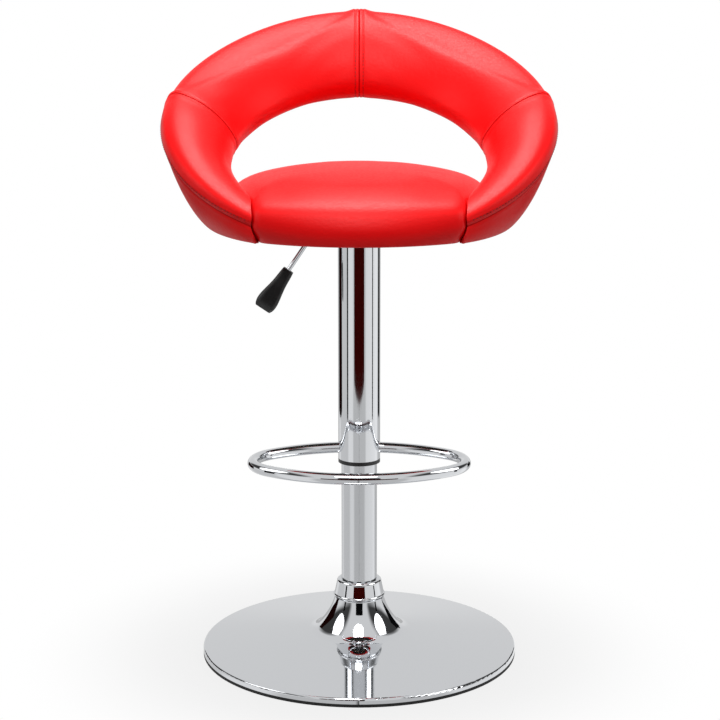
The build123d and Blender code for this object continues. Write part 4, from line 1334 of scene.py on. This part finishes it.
@dataclass(frozen=True)
class Card:
    """Card that stands out of the picture and shows only in the chrome, as a painted dark reflection."""

    name: str
    colour: str
    towards: float
    distance: float
    width: float
    bottom: float
    top: float

    def stand(self) -> bpy.types.Object:
        """Stands the card upright, facing the column.

        Returns:
            The card.
        """
        paper, _, _ = start_material("card, matt " + self.name, MATT | {"Base Color": linear(self.colour)})
        turn = math.radians(self.towards)
        middle = np.array([math.sin(turn), -math.cos(turn)]) * self.distance
        half = np.array([math.cos(turn), math.sin(turn)]) * self.width / 2
        left, right = middle - half, middle + half
        corners = [(*left, self.bottom), (*right, self.bottom), (*right, self.top), (*left, self.top)]
        card = mesh_object(self.name.replace(" ", "_"), np.array(corners), [[0, 1, 2, 3]], paper)
        card.visible_camera = card.visible_diffuse = card.visible_shadow = False
        return card


@dataclass(frozen=True)
class SoftBox:
    """Round lamp that gives a soft light."""

    name: str
    place: tuple[float, float, float]
    size: float
    watts: float

    def hang(self, aim: Vector) -> None:
        """Hangs the lamp so that it looks at a point.

        Args:
            aim: The point.
        """
        lamp = bpy.data.lights.new(self.name, "AREA")
        lamp.shape, lamp.size, lamp.energy = "DISK", self.size, self.watts
        hung = bpy.data.objects.new(self.name, lamp)
        hung.location = self.place
        hung.rotation_euler = (aim - Vector(self.place)).to_track_quat("-Z", "Y").to_euler()
        bpy.context.scene.collection.objects.link(hung)


@dataclass(frozen=True)
class Studio:
    """Pale floor, white surroundings, soft lamps and the camera at the photograph's viewing angle."""

    camera_place: tuple[float, float, float] = (0.001, -2.45, 0.9173)
    camera_pitch: float = 12.15
    lens_mm: float = 97.84
    sensor_mm: float = 36.0
    floor_half: float = 4.0
    floor_colour: str = "#a2a2a2"
    floor_white: float = 0.82
    # Greys by direction round the stool, seen only in a mirror: painted reflection bands on the chrome tubes
    reflected_floor_bands: tuple[tuple[float, float], ...] = (
        (0.0, 0.59),
        (0.083, 0.59),
        (0.1, 0.86),
        (0.161, 0.87),
        (0.183, 0.66),
        (0.328, 0.68),
        (0.344, 0.85),
        (0.389, 0.85),
        (0.417, 0.5),
        (0.5, 0.47),
        (0.653, 0.6),
        (0.689, 1.0),
        (0.722, 1.0),
        (0.736, 0.95),
        (0.894, 0.85),
        (0.911, 0.6),
        (1.0, 0.59),
    )
    white_from: float = 0.2
    white_by: float = 0.46
    mirrored: float = 0.8
    dark_from: float = 0.1
    dark_by: float = 0.28
    strip: float = 0.75
    sides: float = 0.05
    strip_edges: tuple[float, float] = (0.5, 0.68)
    fill: float = 0.21
    # Cards that paint dark reflections into the chrome; the dark red front card and left far card paint the
    # red seat's reflection
    cards: tuple[Card, ...] = (
        Card("front card", "#3d0705", 0.0, 1.45, 1.5, 0.0, 0.42),
        Card("camera side card", "#0c0c0d", 0.0, 2.7, 1.5, 0.5, 1.7),
        Card("left near card", "#0c0c0d", -66.0, 1.3, 0.18, 0.0, 0.5),
        Card("right near card", "#0c0c0d", 77.0, 1.3, 0.14, 0.0, 0.5),
        Card("left far card", "#1a0606", -125.0, 1.3, 0.8, 0.0, 0.5),
        Card("right far card", "#0c0c0d", 134.0, 1.3, 0.5, 0.0, 0.5),
    )
    lamps: tuple[SoftBox, ...] = (
        SoftBox("overhead softbox", (0.0, 0.35, 2.6), 1.1, 54.0),
        SoftBox("front softbox", (-0.1, -1.6, 2.6), 1.2, 36.0),
        SoftBox("left softbox", (-2.2, -0.4, 1.7), 1.5, 14.0),
        SoftBox("right softbox", (2.2, -0.4, 1.7), 1.5, 18.0),
    )
    lamps_aim: tuple[float, float, float] = (0.0, 0.0, 0.55)

    def build(self) -> None:
        """Adds the floor, the world, the cards, the lamps and the camera."""
        bpy.context.scene.view_settings.view_transform = "Standard"
        self.lay_floor()
        self.light_world()
        for card in self.cards:
            card.stand()
        for lamp in self.lamps:
            lamp.hang(Vector(self.lamps_aim))
        eye = bpy.data.cameras.new("photograph view")
        eye.lens, eye.sensor_width = self.lens_mm, self.sensor_mm
        camera = bpy.data.objects.new("photograph view", eye)
        camera.location = self.camera_place
        camera.rotation_euler = (math.radians(90 - self.camera_pitch), 0, 0)
        bpy.context.scene.collection.objects.link(camera)
        bpy.context.scene.camera = camera

    def lay_floor(self) -> None:
        """Adds a pale floor that turns white away from the stool and keeps the stool's shadow; in a mirror
        it shows painted grey bands round the stool.
        """
        half = self.floor_half
        plain = MATT | {"Base Color": linear(self.floor_colour)}
        paper, tree, shader = start_material("paper sweep, matt white", plain)
        glow = add_node(tree, "Emission", {"Strength": 1.0})
        place = add_node(tree, "TexCoord").outputs["Object"]
        away = add_node(tree, "VectorMath", {0: place}, operation="LENGTH")
        whiten = {
            "Value": away.outputs["Value"],
            "From Min": self.white_from,
            "From Max": self.white_by,
            "To Min": self.floor_white,
            "To Max": 1.0,
        }
        white = add_node(tree, "MapRange", whiten, interpolation_type="SMOOTHSTEP")
        path = add_node(tree, "LightPath").outputs
        seen = add_node(tree, "Math", {0: path["Is Camera Ray"], 1: white.outputs[0]}, operation="MULTIPLY")
        share = add_node(tree, "Math", {0: path["Is Glossy Ray"], 1: seen.outputs[0]}, operation="MAXIMUM")
        spot = add_node(tree, "SeparateXYZ", {0: place}).outputs
        towards = add_node(tree, "Math", {0: spot["X"], 1: spot["Y"]}, operation="ARCTAN2")
        full_turn = {"Value": towards.outputs[0], "From Min": -math.pi, "From Max": math.pi}
        turn = add_node(tree, "MapRange", full_turn)
        # Painted reflection: glossy rays see the floor as grey bands by direction round the stool
        reflected_bands = add_node(tree, "ValToRGB", {0: turn.outputs[0]})
        stops = reflected_bands.color_ramp.elements
        stops[1].position = 0.0
        for place_in_turn, grey in self.reflected_floor_bands:
            stop = stops.new(place_in_turn)
            stop.color = (grey, grey, grey, 1)
        shown = {0: path["Is Glossy Ray"], MIX_A: WHITE, MIX_B: reflected_bands.outputs[0]}
        glossy_floor_tone = add_node(tree, "Mix", shown, data_type="RGBA")
        tree.links.new(glossy_floor_tone.outputs[MIXED], glow.inputs["Color"])
        blend = add_node(tree, "MixShader", {0: share.outputs[0], 1: shader.outputs[0], 2: glow.outputs[0]})
        tree.links.new(blend.outputs[0], tree.nodes["Material Output"].inputs["Surface"])
        corners = np.array([[-half, -half, 0], [half, -half, 0], [half, half, 0], [-half, half, 0]])
        floor = mesh_object("paper_floor", corners, [[0, 1, 2, 3]], paper)

    def light_world(self) -> None:
        """Makes the surroundings white to look at, and in a mirror a pale strip between dark sides."""
        world = bpy.data.worlds.new("white surroundings")
        world.use_nodes = True
        bpy.context.scene.world = world
        tree = world.node_tree
        path = add_node(tree, "LightPath").outputs
        way = add_node(tree, "SeparateXYZ", {0: add_node(tree, "TexCoord").outputs["Generated"]})
        aside = add_node(tree, "Math", {0: way.outputs["X"]}, operation="ABSOLUTE")
        inner, outer = self.strip_edges
        strip = {
            "Value": aside.outputs[0],
            "From Min": inner,
            "From Max": outer,
            "To Min": self.strip,
            "To Max": self.sides,
        }
        above = add_node(tree, "MapRange", strip, interpolation_type="SMOOTHSTEP").outputs[0]
        walls = {
            "Value": way.outputs["Z"],
            "From Min": self.dark_from,
            "From Max": self.dark_by,
            "To Min": self.mirrored,
            "To Max": above,
        }
        room = add_node(tree, "MapRange", walls, interpolation_type="SMOOTHSTEP")
        unseen = {"Value": path["Is Glossy Ray"], "To Min": self.fill, "To Max": room.outputs[0]}
        mirror = add_node(tree, "MapRange", unseen)
        shown = {0: path["Is Camera Ray"], 1: mirror.outputs[0]}
        strength = add_node(tree, "Math", shown, operation="MAXIMUM")
        tree.links.new(strength.outputs[0], tree.nodes["Background"].inputs["Strength"])
        tree.nodes["Background"].inputs["Color"].default_value = WHITE


def dress_frame(finishes: dict[str, bpy.types.Material]) -> None:
    """Gives every carried-over node the finish of its slot.

    Args:
        finishes: Material of each slot.
    """
    for part in frame["record"]["subparts"]:
        surfaces = frame["nodes"][part["node"]].data.materials
        surfaces.clear()
        surfaces.append(finishes[part["material_slot"]])


def main() -> None:
    """Builds the finishes, the padded pieces and the studio."""
    logging.basicConfig(level=logging.INFO, format="%(name)s %(message)s")
    finishes = {slot: finish.build() for slot, finish in FINISHES.items()}
    thread = THREAD.build()
    leather = finishes["red_leather"]
    dress_frame(finishes)
    cushion = SeatCushion("seat_cushion", leather, thread, Inflation(most_mm=5.0))
    pieces = cushion.build()
    for side in Side:
        pieces += BackPad(f"back_pad_{side.word}", leather, thread, side=side).build()
        pieces += ArmPad(f"arm_pad_{side.word}", leather, thread, side=side, cushion=cushion).build()
    for piece in pieces:
        log.info("made %s", piece.name)
    Studio().build()


if __name__ == "__main__":
    main()
